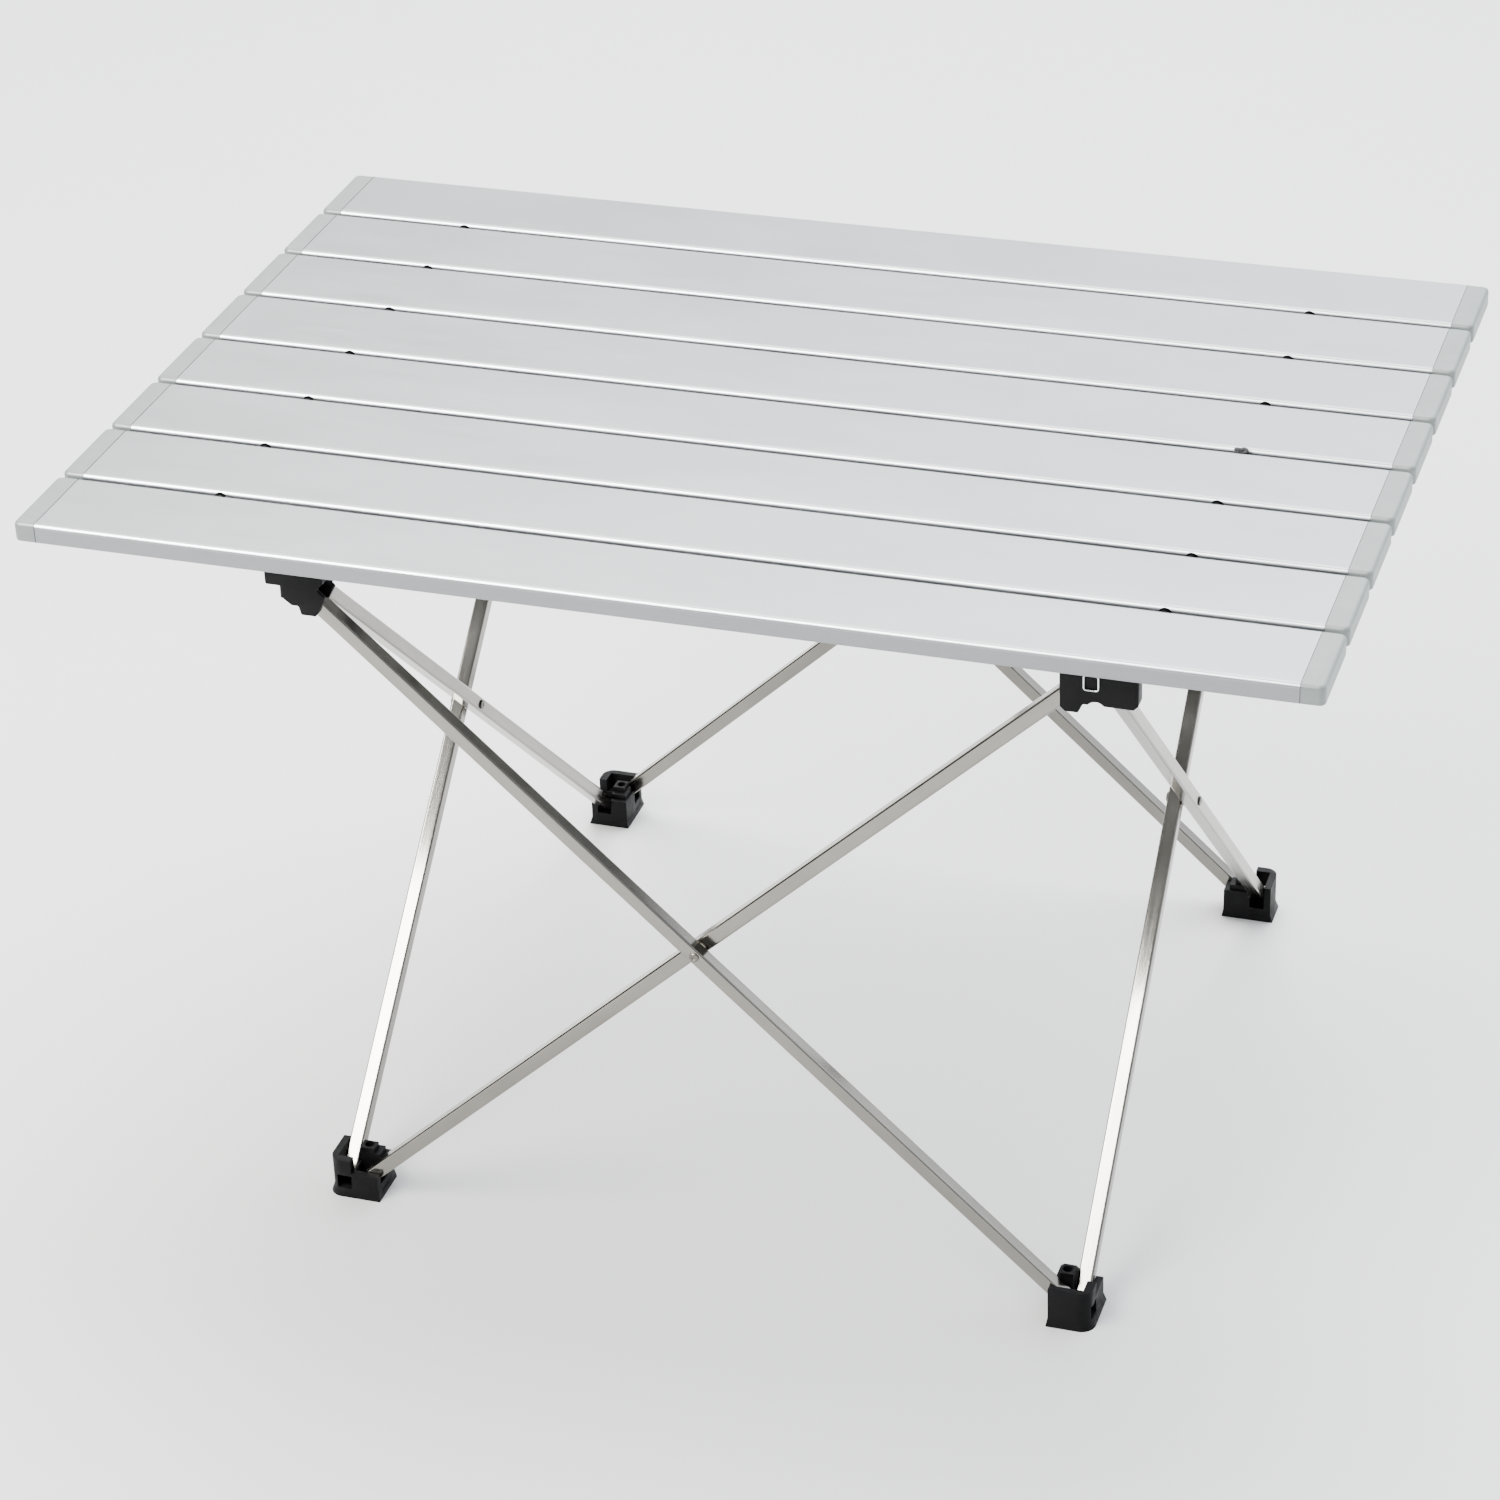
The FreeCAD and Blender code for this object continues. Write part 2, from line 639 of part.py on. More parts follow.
def clip_cheek(label, role, outline, inner_bound, thickness):
    """Cheek of a clip: an outline padded from its inner bound, with its corners rounded."""
    body = doc.addObject("PartDesign::Body", label)
    sketch = sketch_on(body, role, label + "_outline", inner_bound)
    draw_polygon(sketch, outline)
    pad(body, sketch, thickness)
    across = FreeCAD.Vector(0, 1, 0) if role == "XZ_Plane" else FreeCAD.Vector(1, 0, 0)
    return round_edges(label + "_round", body, [(size("cheek_corner_radius"),
                                                 lambda edge: runs_along(edge, across))])


def lobed_outline():
    """Front view of a plain clip's cheek: a wing, a step, a toe and a notch for the leg."""
    side = "(notch_reach + notch_depth)"
    return [("-wing_reach", PLATE_TOP), ("-wing_reach", "wing_low"), ("-neck_reach", "wing_low"),
            ("-neck_reach", "-step_drop / 2"), ("-neck_reach / 2", "-step_drop"),
            ("-toe_start", "-step_drop"), ("toe_start", "-toe_drop"), ("toe_end", "-toe_drop"),
            (side, "notch_height - notch_depth"), ("notch_reach", "notch_height"),
            (side, "notch_height + notch_depth"), (side, PLATE_TOP)]


def arched_outline():
    """Front view of a loop clip's cheek: a sloping edge, a heel and a long low face."""
    return [("face_edge - face_slope", PLATE_TOP), ("face_edge", PLATE_TOP + " - 3 * face_slope"),
            ("face_edge", "face_slope - heel_drop"), ("face_edge - face_slope", "-heel_drop"),
            ("-heel_end", "-heel_drop"), ("-heel_end - face_slope", "-face_low"),
            ("face_slope - face_reach", "-face_low"), ("-face_reach", "face_slope - face_low"),
            ("-face_reach", PLATE_TOP + " - 3 * face_slope"), ("face_slope - face_reach", PLATE_TOP)]


def loop_ear(label):
    """Small ear on a clip's outer face that the wire loop turns in."""
    face = "(-clip_face)"
    return block(label + "_ear", (face + " - ear_depth", face + " + " + OVERCUT),
                 ("-loop_offset - ear_width / 2", "-loop_offset + ear_width / 2"),
                 ("loop_height - ear_height / 2", "loop_height + ear_height / 2"))


LOOP_X = "(-clip_face - loop_gap - loop_wire_radius)"


def clip_hub(label, number, with_loop):
    """Clip that holds an outer leg along +X and an inner leg along +Y, about their pivots.

    Its plate lies under the slat and runs along the slat, which is this clip's own X, or
    its own Y on the two corners that are turned a quarter.
    """
    plate_low = "(%s - clip_plate)" % PLATE_TOP
    cheek_face = "(%s - %s - clip_cheek)" % (OUTER, SLOT_HALF)
    inner_cheek = "(%s - %s - hub_cheek)" % (INNER, SLOT_HALF)
    inner_end = "(%s + %s + hub_cheek)" % (INNER, SLOT_HALF)
    if with_loop:
        body_x = ("-clip_face", "clip_body_reach")
        plate_x = body_x
        plate_y = ("-clip_outer_reach", "clip_inner_reach")
        slot_side = "(%s - %s)" % (INNER, SLOT_HALF)
        cheek = clip_cheek(label + "_cheek", "YZ_Plane", arched_outline(), "-clip_face",
                           "clip_face + %s" % slot_side)
    else:
        body_x = (inner_cheek, "clip_body_reach")
        plate_x = ("-wing_reach", "clip_inner_reach")
        plate_y = (cheek_face, "clip_body_reach")
        cheek_end = "(%s + %s + hub_cheek)" % (OUTER, SLOT_HALF)
        cheek = clip_cheek(label + "_cheek", "XZ_Plane", lobed_outline(), "-" + cheek_end,
                           "%s - %s" % (cheek_end, cheek_face))
    body_y = (cheek_face, "clip_body_reach")
    round_radius = size("clip_corner_radius")
    middle = round_edges(label + "_body",
                         block(label + "_block", body_x, body_y, ("-clip_skirt", plate_low)),
                         [(round_radius, upright)])
    plate = round_edges(label + "_plate",
                        block(label + "_slab", plate_x, plate_y, (plate_low, PLATE_TOP)),
                        [(round_radius, upright)])
    outer_lobe = rod(label + "_outer_lobe", "Y", "clip_drop",
                     (cheek_face, "%s + %s + hub_cheek" % (OUTER, SLOT_HALF)), ("0", "0"))
    inner_lobe = rod(label + "_inner_lobe", "X", "clip_drop", (inner_cheek, inner_end), ("0", "0"))
    mass = [middle, plate, cheek, inner_lobe]
    if with_loop:
        mass.append(outer_lobe)
    if with_loop:
        mass.append(loop_ear(label))
    whole = fuse(label + "_mass", mass)
    outer_slot = block(label + "_outer_slot", ("-%s" % TAIL_REACH, FAR),
                       ("%s - %s" % (OUTER, SLOT_HALF), "%s + %s" % (OUTER, SLOT_HALF)),
                       ("-" + FAR, TAIL_REACH))
    inner_slot = block(label + "_inner_slot",
                       ("%s - %s" % (INNER, SLOT_HALF), "%s + %s" % (INNER, SLOT_HALF)),
                       ("-%s" % TAIL_REACH, FAR), ("-" + FAR, TAIL_REACH))
    tools = [outer_slot, inner_slot] + clip_pins(label + "_bore")
    if with_loop:
        tools.append(rod(label + "_arch", "X", "arch_radius",
                         ("-" + FAR, "-%s - %s" % (TAIL_REACH, OVERCUT)),
                         ("-arch_offset", "-arch_drop - arch_radius")))
        tools.append(rod(label + "_loop_bore", "Y", "loop_wire_radius + loop_clearance",
                         ("-loop_offset - ear_width", "-loop_offset + ear_width"),
                         (LOOP_X, "loop_height")))
    add_node(label, cut(label + "_whole", whole, tools), corner_place(number, TOP_PIVOT))


def wire_loop(label, number):
    """Spring wire loop that hangs from its clip's ear on two turned-in ends."""
    reach = "(loop_width / 2)"
    turned = "(ear_width / 2 - loop_turn_in)"
    top, bottom = "loop_height", "(loop_height - loop_drop)"
    wires = []
    for side, sign in (("a", "-"), ("b", "")):
        across = "(-loop_offset + %s%s)" % (sign, reach)
        ends = ("-loop_offset - " + reach, "-loop_offset - " + turned)
        if sign == "":
            ends = ("-loop_offset + " + turned, "-loop_offset + " + reach)
        wires.append(rod(label + "_turn_" + side, "Y", "loop_wire_radius", ends, (LOOP_X, top)))
        wires.append(rod(label + "_side_" + side, "Z", "loop_wire_radius", (bottom, top),
                         (LOOP_X, across)))
        wires.append(ball(label + "_bend_top_" + side, "loop_bend_radius", (LOOP_X, across, top)))
        wires.append(ball(label + "_bend_low_" + side, "loop_bend_radius",
                          (LOOP_X, across, bottom)))
    wires.append(rod(label + "_bar", "Y", "loop_wire_radius",
                     ("-loop_offset - " + reach, "-loop_offset + " + reach), (LOOP_X, bottom)))
    add_node(label, fuse(label + "_whole", wires), corner_place(number, TOP_PIVOT))


# ---------------------------------------------------------------- build and write


def build_top():
    for index in range(1, SLAT_COUNT + 1):
        slat(index)
        end_caps(index)
        cord_bushes(index)
    elastic_cord("elastic_cord_left", -1)
    elastic_cord("elastic_cord_right", 1)


def build_frame():
    for number, side in enumerate(SIDES):
        leg("%s_leg_outer" % side, number, True)
        leg("%s_leg_inner" % side, number, False)
        centre_rivet("%s_rivet" % side, number)
        centre_spacer("%s_spacer" % side, number)
    for number, corner in enumerate(CORNERS):
        with_loop = number % 2 == 1
        foot_hub("foot_%s" % corner, number)
        pin_pair("foot_pins_%s" % corner, foot_pins("foot_%s_pins" % corner),
                 corner_place(number, "foot_pivot_height"))
        clip_hub("clip_%s" % corner, number, with_loop)
        pin_pair("clip_pins_%s" % corner, clip_pins("clip_%s_pins" % corner),
                 corner_place(number, TOP_PIVOT))
        if with_loop:
            wire_loop("wire_loop_%s" % corner, number)


def check_document():
    """Stop on any object that failed, and on any sub-part without a sound shape."""
    for item in doc.Objects:
        if "Invalid" in item.State or "Error" in item.State:
            raise RuntimeError("%s failed: %s" % (item.Name, item.State))
    for part in nodes:
        if part.Shape.isNull() or not part.Shape.isValid() or not part.Shape.Solids:
            raise RuntimeError("%s has no sound solid" % part.Label)


def write_parts():
    os.makedirs("parts", exist_ok=True)
    for part in nodes:
        part.Shape.exportStep("parts/%s.step" % part.Label)
        print("%-26s solids %d  volume %.1f mm3" % (part.Label, len(part.Shape.Solids),
                                                    part.Shape.Volume))


fill_sheet()
build_top()
build_frame()
doc.recompute()
check_document()
write_parts()
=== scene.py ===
"""Folding roll-top side table: finishes, braided cords, rivets, wire loops and soft-edged hubs."""

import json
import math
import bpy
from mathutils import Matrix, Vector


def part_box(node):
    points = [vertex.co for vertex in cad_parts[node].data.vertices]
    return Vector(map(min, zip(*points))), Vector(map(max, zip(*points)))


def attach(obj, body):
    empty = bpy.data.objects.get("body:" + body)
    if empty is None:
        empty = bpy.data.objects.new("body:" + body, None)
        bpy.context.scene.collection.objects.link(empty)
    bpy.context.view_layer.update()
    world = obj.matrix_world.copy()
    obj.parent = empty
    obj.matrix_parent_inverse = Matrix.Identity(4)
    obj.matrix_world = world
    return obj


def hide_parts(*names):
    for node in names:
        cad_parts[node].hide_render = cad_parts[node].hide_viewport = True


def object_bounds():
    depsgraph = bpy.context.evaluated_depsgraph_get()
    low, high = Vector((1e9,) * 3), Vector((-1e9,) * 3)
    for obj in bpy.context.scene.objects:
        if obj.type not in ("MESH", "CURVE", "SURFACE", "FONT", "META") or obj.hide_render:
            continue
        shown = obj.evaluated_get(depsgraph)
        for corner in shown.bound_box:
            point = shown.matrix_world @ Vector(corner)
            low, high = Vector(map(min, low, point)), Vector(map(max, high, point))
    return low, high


bl_info = {
    "name": "Folding Side Table",
    "version": (1, 0, 0),
    "blender": (4, 5, 0),
    "location": "3D View > Sidebar > Side Table",
    "description": "Finishes and small parts of a folding roll-top side table",
    "category": "Add Mesh",
}

import bmesh
import bpy
from mathutils import Matrix, Vector

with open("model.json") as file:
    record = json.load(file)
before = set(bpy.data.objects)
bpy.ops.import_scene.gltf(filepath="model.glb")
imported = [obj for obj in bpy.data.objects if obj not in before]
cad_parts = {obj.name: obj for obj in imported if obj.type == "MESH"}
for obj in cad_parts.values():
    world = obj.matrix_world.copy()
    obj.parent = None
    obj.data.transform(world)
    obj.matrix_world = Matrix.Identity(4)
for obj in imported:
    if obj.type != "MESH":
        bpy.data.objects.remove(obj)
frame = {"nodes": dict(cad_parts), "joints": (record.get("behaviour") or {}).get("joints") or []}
CAD_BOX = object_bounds()

NODES = frame["nodes"]
JOINTS = {joint["name"]: joint for joint in frame["joints"]}
MM = 0.001

SLATS = tuple(range(1, 9))
SIDES = {"front": (0, -1), "right": (1, 0), "back": (0, 1), "left": (-1, 0)}
CORNERS = {"front_left": (-1, -1), "front_right": (1, -1),
           "back_right": (1, 1), "back_left": (-1, 1)}
LOOP_CORNERS = ("front_right", "back_left")

# The frame's upright axis, and how far its pivots stand out from it.
FRAME_X = JOINTS["front_centre_pivot"]["pos_m"][0]
PIVOT_REACH = FRAME_X - JOINTS["frame_fold"]["pos_m"][0]

# Slats: the arcs of their outline, a seam band's width along the slat, and the brush lines' share
# of the metal's pattern. A seam band is narrower than a real joint line and stands out by half its
# height. The walls' darker tone is painted shade: it is chosen, not a known finish, and it takes
# over between these two depths below the deck.
DECK_EDGE_RADIUS = 2.2 * MM
LIP_EDGE_RADIUS = 0.7 * MM
ARC_STEPS = 5
SEAM_WIDTH = 0.10 * MM
BRUSH_SHARE = 0.65
WALL_PAINTED_SHADE = 0.66
WALL_SHADE_FULL_DEPTH = 2.6 * MM
WALL_SHADE_CLEAR_DEPTH = 1.6 * MM

# Cords: where the end knots and the joining knot lie, and how each is stretched. The knot
# that joins a cord's two ends stands up in the right side's gap behind the front four slats.
END_KNOT_INSET = 2.2 * MM
END_KNOT_STRETCH = (0.85, 0.85, 0.85)
JOINING_KNOT_SLAT = 4
JOINING_KNOT_DROP = 0.4 * MM
JOINING_KNOT_STRETCH = (2.0, 0.50, 1.1)
KNOT_SCALE = 0.55 * MM
KNOT_DEPTH = 1.6
KNOT_POINTS = 48
KNOT_CORD_SHARE = 0.7

# Eyelets: their hole, and how far they stand above the cord's own line.
EYELET_HOLE = 1.7 * MM
EYELET_RISE = 0.8 * MM

# Rivets and pins.
RIVET_HEAD_HEIGHT = 0.9 * MM
RIVET_SHANK_RADIUS = 1.6 * MM
RIVET_FLOOR_DEPTH = 0.2 * MM
RIVET_EDGE_SHARE = 0.48
PIN_END_RADIUS = 1.45 * MM
PIN_END_HOLE = 0.4 * MM
PIN_END_HEIGHT = 0.5 * MM

# Wire loops: how far the CAD corners stand out from the wire's middle line, and half of
# the opening between the wire's two turned-in ends.
LOOP_BEND = 0.55 * MM
LOOP_HALF_OPENING = 0.9 * MM

# Hubs: the distance that merges loose triangles, and the angles that make a flat and an edge.
MERGE_DISTANCE = 0.002 * MM
FLAT_ANGLE = math.radians(1)
EDGE_ANGLE = math.radians(32)
EDGE_SEGMENTS = 3

# Studio: name, place, size, watts and colour of each soft box.
LIGHTS = (
    ("overhead", (-0.3, 1.5, 3.0), 2.6, 190, "#FFFEFA"),
    ("edge_light", (-1.2, -1.5, 2.3), 1.7, 105, "#FFFDF8"),
    ("fill", (2.4, -1.2, 1.5), 1.4, 4, "#F4F8FF"),
    ("rim_light", (-1.3, -1.6, 2.3), 1.9, 520, "#FFFFFF"),
)
# This one lights gloss and nothing else, to draw thin bright lines on the slats' edges.
GLOSS_ONLY_LIGHT = "rim_light"
LIGHT_TARGET_SHARE = 0.7
FLOOR_EDGE = 6.0
# The walls' light by direction: from left to right, up from the floor, and from front to back.
WALL_ACROSS = (-0.42, -0.10)
WALL_LEVEL = (0.08, 0.40)
WALL_BEHIND = (-0.1, 0.6)
WALL_DIMMEST = 0.22
WALL_STRENGTHS = (1.9, 4.6)
SENSOR_WIDTH = 36.0
LENS_SHIFT = -0.0155
JOINT_LINE_COLOUR = "#1E2021"


# ---------------------------------------------------------------- sizes and colours


class FinishSettings(bpy.types.PropertyGroup):
    """Colours of the table's finishes, as sRGB hex values."""

    slat_colour: bpy.props.StringProperty(
        name="Slats", description="Satin anodised aluminium of the slats", default="#9EA0A2")
    tube_colour: bpy.props.StringProperty(
        name="Legs", description="Bright-drawn aluminium of the legs", default="#7F7C76")
    cap_colour: bpy.props.StringProperty(
        name="End caps", description="Moulded ABS of the slats' end caps", default="#828987")
    nylon_colour: bpy.props.StringProperty(
        name="Hubs", description="Glass-filled nylon of the clips, feet and eyelets",
        default="#020203")
    cord_colour: bpy.props.StringProperty(
        name="Cords", description="Braided cover of the elastic cords", default="#0A0A0B")
    washer_colour: bpy.props.StringProperty(
        name="Spacers", description="Natural nylon of the washers between the legs",
        default="#C6C2B4")
    steel_colour: bpy.props.StringProperty(
        name="Rivets and pins", description="Plated steel of the rivets and pins",
        default="#6B6863")
    wire_colour: bpy.props.StringProperty(
        name="Wire loops", description="Bright spring wire of the two loops", default="#D5D6D8")


class DetailSettings(bpy.types.PropertyGroup):
    """Sizes of the small parts."""

    cord_radius: bpy.props.FloatProperty(
        name="Cord radius", description="Outside of the braided elastic cord",
        default=1.3 * MM, unit="LENGTH")
    strand_radius: bpy.props.FloatProperty(
        name="Strand radius", description="One strand of the braid",
        default=0.33 * MM, unit="LENGTH")
    strand_count: bpy.props.IntProperty(
        name="Strands", description="Strands that wind each way round a cord", default=5, min=2)
    braid_lead: bpy.props.FloatProperty(
        name="Braid lead", description="Length of cord for one turn of a strand",
        default=9.0 * MM, unit="LENGTH")
    hub_bevel: bpy.props.FloatProperty(
        name="Hub edge", description="Rounding of the moulded hubs' edges",
        default=0.4 * MM, unit="LENGTH")
    rivet_hole: bpy.props.FloatProperty(
        name="Rivet hole", description="Radius of the hollow in a rivet's head",
        default=0.9 * MM, unit="LENGTH")
    rivet_radius: bpy.props.FloatProperty(
        name="Rivet head", description="Radius of a rivet's head", default=2.6 * MM, unit="LENGTH")
    wire_radius: bpy.props.FloatProperty(
        name="Wire radius", description="Wire of the two loops", default=0.45 * MM, unit="LENGTH")
    wire_bend: bpy.props.FloatProperty(
        name="Wire bend", description="Bend radius at a loop's corners",
        default=1.3 * MM, unit="LENGTH")
    seam_height: bpy.props.FloatProperty(
        name="Seam height", description="Height of the band at a cap's joint, half of it outside",
        default=0.5 * MM, unit="LENGTH")
    eyelet_radius: bpy.props.FloatProperty(
        name="Eyelet", description="Flange radius of the cord eyelets in the slats' walls",
        default=3.3 * MM, unit="LENGTH")
    eyelet_depth: bpy.props.FloatProperty(
        name="Eyelet depth", description="How far an eyelet's flange stands out of its wall",
        default=0.5 * MM, unit="LENGTH")


class StageSettings(bpy.types.PropertyGroup):
    """Floor, lights and camera."""

    floor_colour: bpy.props.StringProperty(
        name="Floor", description="Plain pale floor", default="#F4F4F3")
    focal_length: bpy.props.FloatProperty(
        name="Focal length", description="Camera lens in millimetres", default=103.26)
    camera_place: bpy.props.FloatVectorProperty(
        name="Camera", description="Where the camera stands", subtype="TRANSLATION",
        default=(0.6409, -1.9365, 1.4003))
    heading: bpy.props.FloatProperty(
        name="Heading", description="Turn of the camera to the left of +Y",
        default=math.radians(18.62), subtype="ANGLE")
    tilt: bpy.props.FloatProperty(
        name="Tilt", description="How far the camera looks down",
        default=math.radians(30.64), subtype="ANGLE")
    roll: bpy.props.FloatProperty(
        name="Roll", description="Turn of the camera about its own line of sight",
        default=math.radians(-2.06), subtype="ANGLE")


# ---------------------------------------------------------------- helpers


def linear(hex_colour):
    """An sRGB hex colour as a linear RGBA value."""
    values = [int(hex_colour[start:start + 2], 16) / 255 for start in (1, 3, 5)]
    curve = [v / 12.92 if v <= 0.04045 else ((v + 0.055) / 1.055) ** 2.4 for v in values]
    return (*curve, 1.0)


def add_node(tree, kind, settings=None, inputs=None):
    """Add a node, set its properties, and set its inputs or link sockets to them."""
    made = tree.nodes.new(kind)
    for name, value in (settings or {}).items():
        setattr(made, name, value)
    for name, value in (inputs or {}).items():
        if isinstance(value, bpy.types.NodeSocket):
            tree.links.new(value, made.inputs[name])
        else:
            made.inputs[name].default_value = value
    return made


def link_piece(label, mesh):
    """A new object in the scene for a mesh."""
    piece = bpy.data.objects.new(label, mesh)
    bpy.context.scene.collection.objects.link(piece)
    return piece


def finish_piece(piece, body, stands_for=(), material=None):
    """Give a piece its finish, its body and the CAD nodes that it stands for."""
    if material is not None:
        piece.data.materials.clear()
        piece.data.materials.append(material)
    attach(piece, body)
    if stands_for:
        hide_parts(*stands_for)
    return piece


def repaint(node_name, material):
    """Give a CAD node a finish."""
    slots = NODES[node_name].material_slots
    if not slots:
        NODES[node_name].data.materials.append(material)
    for item in NODES[node_name].material_slots:
        item.material = material


def path_mesh(label, points, closed=False):
    """A mesh of edges only, through points in metres."""
    count = len(points)
    edges = [(index, (index + 1) % count) for index in range(count if closed else count - 1)]
    mesh = bpy.data.meshes.new(label)
    mesh.from_pydata([tuple(point) for point in points], edges, [])
    return mesh


def run_tree(label, tree, mesh, values):
    """Run a Geometry Nodes tree on a mesh, and keep the result as a plain mesh object."""
    carrier = link_piece(label + "_source", mesh)
    modifier = carrier.modifiers.new("Build", "NODES")
    modifier.node_group = tree
    for item in tree.interface.items_tree:
        if item.item_type == "SOCKET" and item.in_out == "INPUT" and item.name in values:
            modifier[item.identifier] = values[item.name]
    graph = bpy.context.evaluated_depsgraph_get()
    result = bpy.data.meshes.new_from_object(carrier.evaluated_get(graph), depsgraph=graph)
    bpy.data.objects.remove(carrier)
    result.name = label
    return link_piece(label, result)


def join_pieces(label, parts):
    """Join plain mesh objects into one."""
    joined = bmesh.new()
    materials = []
    for part in parts:
        for material in part.data.materials:
            if material not in materials:
                materials.append(material)
    result = bpy.data.meshes.new(label)
    for material in materials:
        result.materials.append(material)
    for part in parts:
        start = len(joined.faces)
        joined.from_mesh(part.data)
        joined.faces.ensure_lookup_table()
        for face in joined.faces[start:]:
            face.material_index = materials.index(part.data.materials[face.material_index])
        bpy.data.objects.remove(part)
    joined.to_mesh(result)
    joined.free()
    return link_piece(label, result)


def new_tree(name, sockets):
    """An empty Geometry Nodes tree with named inputs, and its input node."""
    tree = bpy.data.node_groups.new(name, "GeometryNodeTree")
    tree.interface.new_socket(name="Geometry", in_out="INPUT", socket_type="NodeSocketGeometry")
    for label, kind in sockets:
        tree.interface.new_socket(name=label, in_out="INPUT", socket_type="NodeSocket" + kind)
    tree.interface.new_socket(name="Geometry", in_out="OUTPUT", socket_type="NodeSocketGeometry")
    return tree, add_node(tree, "NodeGroupInput")


def close_tree(tree, geometry, finish, smooth=True):
    """End a tree: realised instances, shading and the finish."""
    real = add_node(tree, "GeometryNodeRealizeInstances", inputs={"Geometry": geometry})
    shaded = add_node(tree, "GeometryNodeSetShadeSmooth",
                      inputs={"Geometry": real.outputs[0], "Shade Smooth": smooth})
    painted = add_node(tree, "GeometryNodeSetMaterial",
                       inputs={"Geometry": shaded.outputs[0], "Material": finish})
    add_node(tree, "NodeGroupOutput", inputs={"Geometry": painted.outputs[0]})
    return tree


# ---------------------------------------------------------------- geometry node trees


def wire_tree():
    """Round wire along a path of edges, with its corners bent to a radius."""
    tree, given = new_tree("Bent Wire", (
        ("Radius", "Float"), ("Bend", "Float"), ("Finish", "Material")))
    curve = add_node(tree, "GeometryNodeMeshToCurve", inputs={"Mesh": given.outputs["Geometry"]})
    bent = add_node(tree, "GeometryNodeFilletCurve", {"mode": "POLY"},
                    {"Curve": curve.outputs[0], "Radius": given.outputs["Bend"],
                     "Count": 7, "Limit Radius": True})
    section = add_node(tree, "GeometryNodeCurvePrimitiveCircle",
                       inputs={"Resolution": 14, "Radius": given.outputs["Radius"]})
    wire = add_node(tree, "GeometryNodeCurveToMesh",
                    inputs={"Curve": bent.outputs[0], "Profile Curve": section.outputs[0],
                            "Fill Caps": True})
    return close_tree(tree, wire.outputs[0], given.outputs["Finish"])


def braid_tree():
    """Braided cord along the path: strands that wind both ways round a core."""
    tree, given = new_tree("Braided Cord", (
        ("Radius", "Float"), ("Strand Radius", "Float"), ("Strands", "Int"), ("Lead", "Float"),
        ("Finish", "Material")))
    path = add_node(tree, "GeometryNodeMeshToCurve", inputs={"Mesh": given.outputs["Geometry"]})
    length = add_node(tree, "GeometryNodeCurveLength", inputs={"Curve": path.outputs[0]})
    turns = add_node(tree, "ShaderNodeMath", {"operation": "DIVIDE"},
                     {0: length.outputs[0], 1: given.outputs["Lead"]})
    winding = add_node(tree, "ShaderNodeMath", {"operation": "SUBTRACT"},
                       {0: given.outputs["Radius"], 1: given.outputs["Strand Radius"]})
    share = add_node(tree, "ShaderNodeMath", {"operation": "DIVIDE"},
                     {0: math.tau, 1: given.outputs["Strands"]})
    section = add_node(tree, "GeometryNodeCurvePrimitiveCircle",
                       inputs={"Resolution": 6, "Radius": given.outputs["Strand Radius"]})
    joined = add_node(tree, "GeometryNodeJoinGeometry")
    for reverse in (False, True):
        helix = add_node(tree, "GeometryNodeCurveSpiral", inputs={
            "Resolution": 9, "Rotations": turns.outputs[0], "Start Radius": winding.outputs[0],
            "End Radius": winding.outputs[0], "Height": length.outputs[0], "Reverse": reverse})
        copies = add_node(tree, "GeometryNodeDuplicateElements", {"domain": "SPLINE"},
                          {"Geometry": helix.outputs[0], "Amount": given.outputs["Strands"]})
        angle = add_node(tree, "ShaderNodeMath", {"operation": "MULTIPLY"},
                         {0: copies.outputs["Duplicate Index"], 1: share.outputs[0]})
        place = add_node(tree, "GeometryNodeInputPosition")
        turned = add_node(tree, "ShaderNodeVectorRotate", {"rotation_type": "Z_AXIS"},
                          {"Vector": place.outputs[0], "Angle": angle.outputs[0]})
        wound = add_node(tree, "GeometryNodeSetPosition",
                         inputs={"Geometry": copies.outputs["Geometry"],
                                 "Position": turned.outputs[0]})
        strand = add_node(tree, "GeometryNodeCurveToMesh",
                          inputs={"Curve": wound.outputs[0], "Profile Curve": section.outputs[0],
                                  "Fill Caps": True})
        tree.links.new(strand.outputs[0], joined.inputs[0])
    core_line = add_node(tree, "GeometryNodeCurvePrimitiveLine")
    core_end = add_node(tree, "ShaderNodeCombineXYZ", inputs={"Z": length.outputs[0]})
    tree.links.new(core_end.outputs[0], core_line.inputs["End"])
    core_section = add_node(tree, "GeometryNodeCurvePrimitiveCircle",
                            inputs={"Resolution": 12, "Radius": winding.outputs[0]})
    core = add_node(tree, "GeometryNodeCurveToMesh",
                    inputs={"Curve": core_line.outputs[0],
                            "Profile Curve": core_section.outputs[0], "Fill Caps": True})
    tree.links.new(core.outputs[0], joined.inputs[0])
    # The cord is wound up along Z, and then laid along the path, which runs along +Y.
    start = add_node(tree, "GeometryNodeSampleCurve", {"mode": "FACTOR"},
                     {"Curves": path.outputs[0], "Factor": 0.0})
    laid = add_node(tree, "GeometryNodeTransform",
                    inputs={"Geometry": joined.outputs[0], "Rotation": (-math.pi / 2, 0.0, 0.0),
                            "Translation": start.outputs["Position"]})
    return close_tree(tree, laid.outputs[0], given.outputs["Finish"])


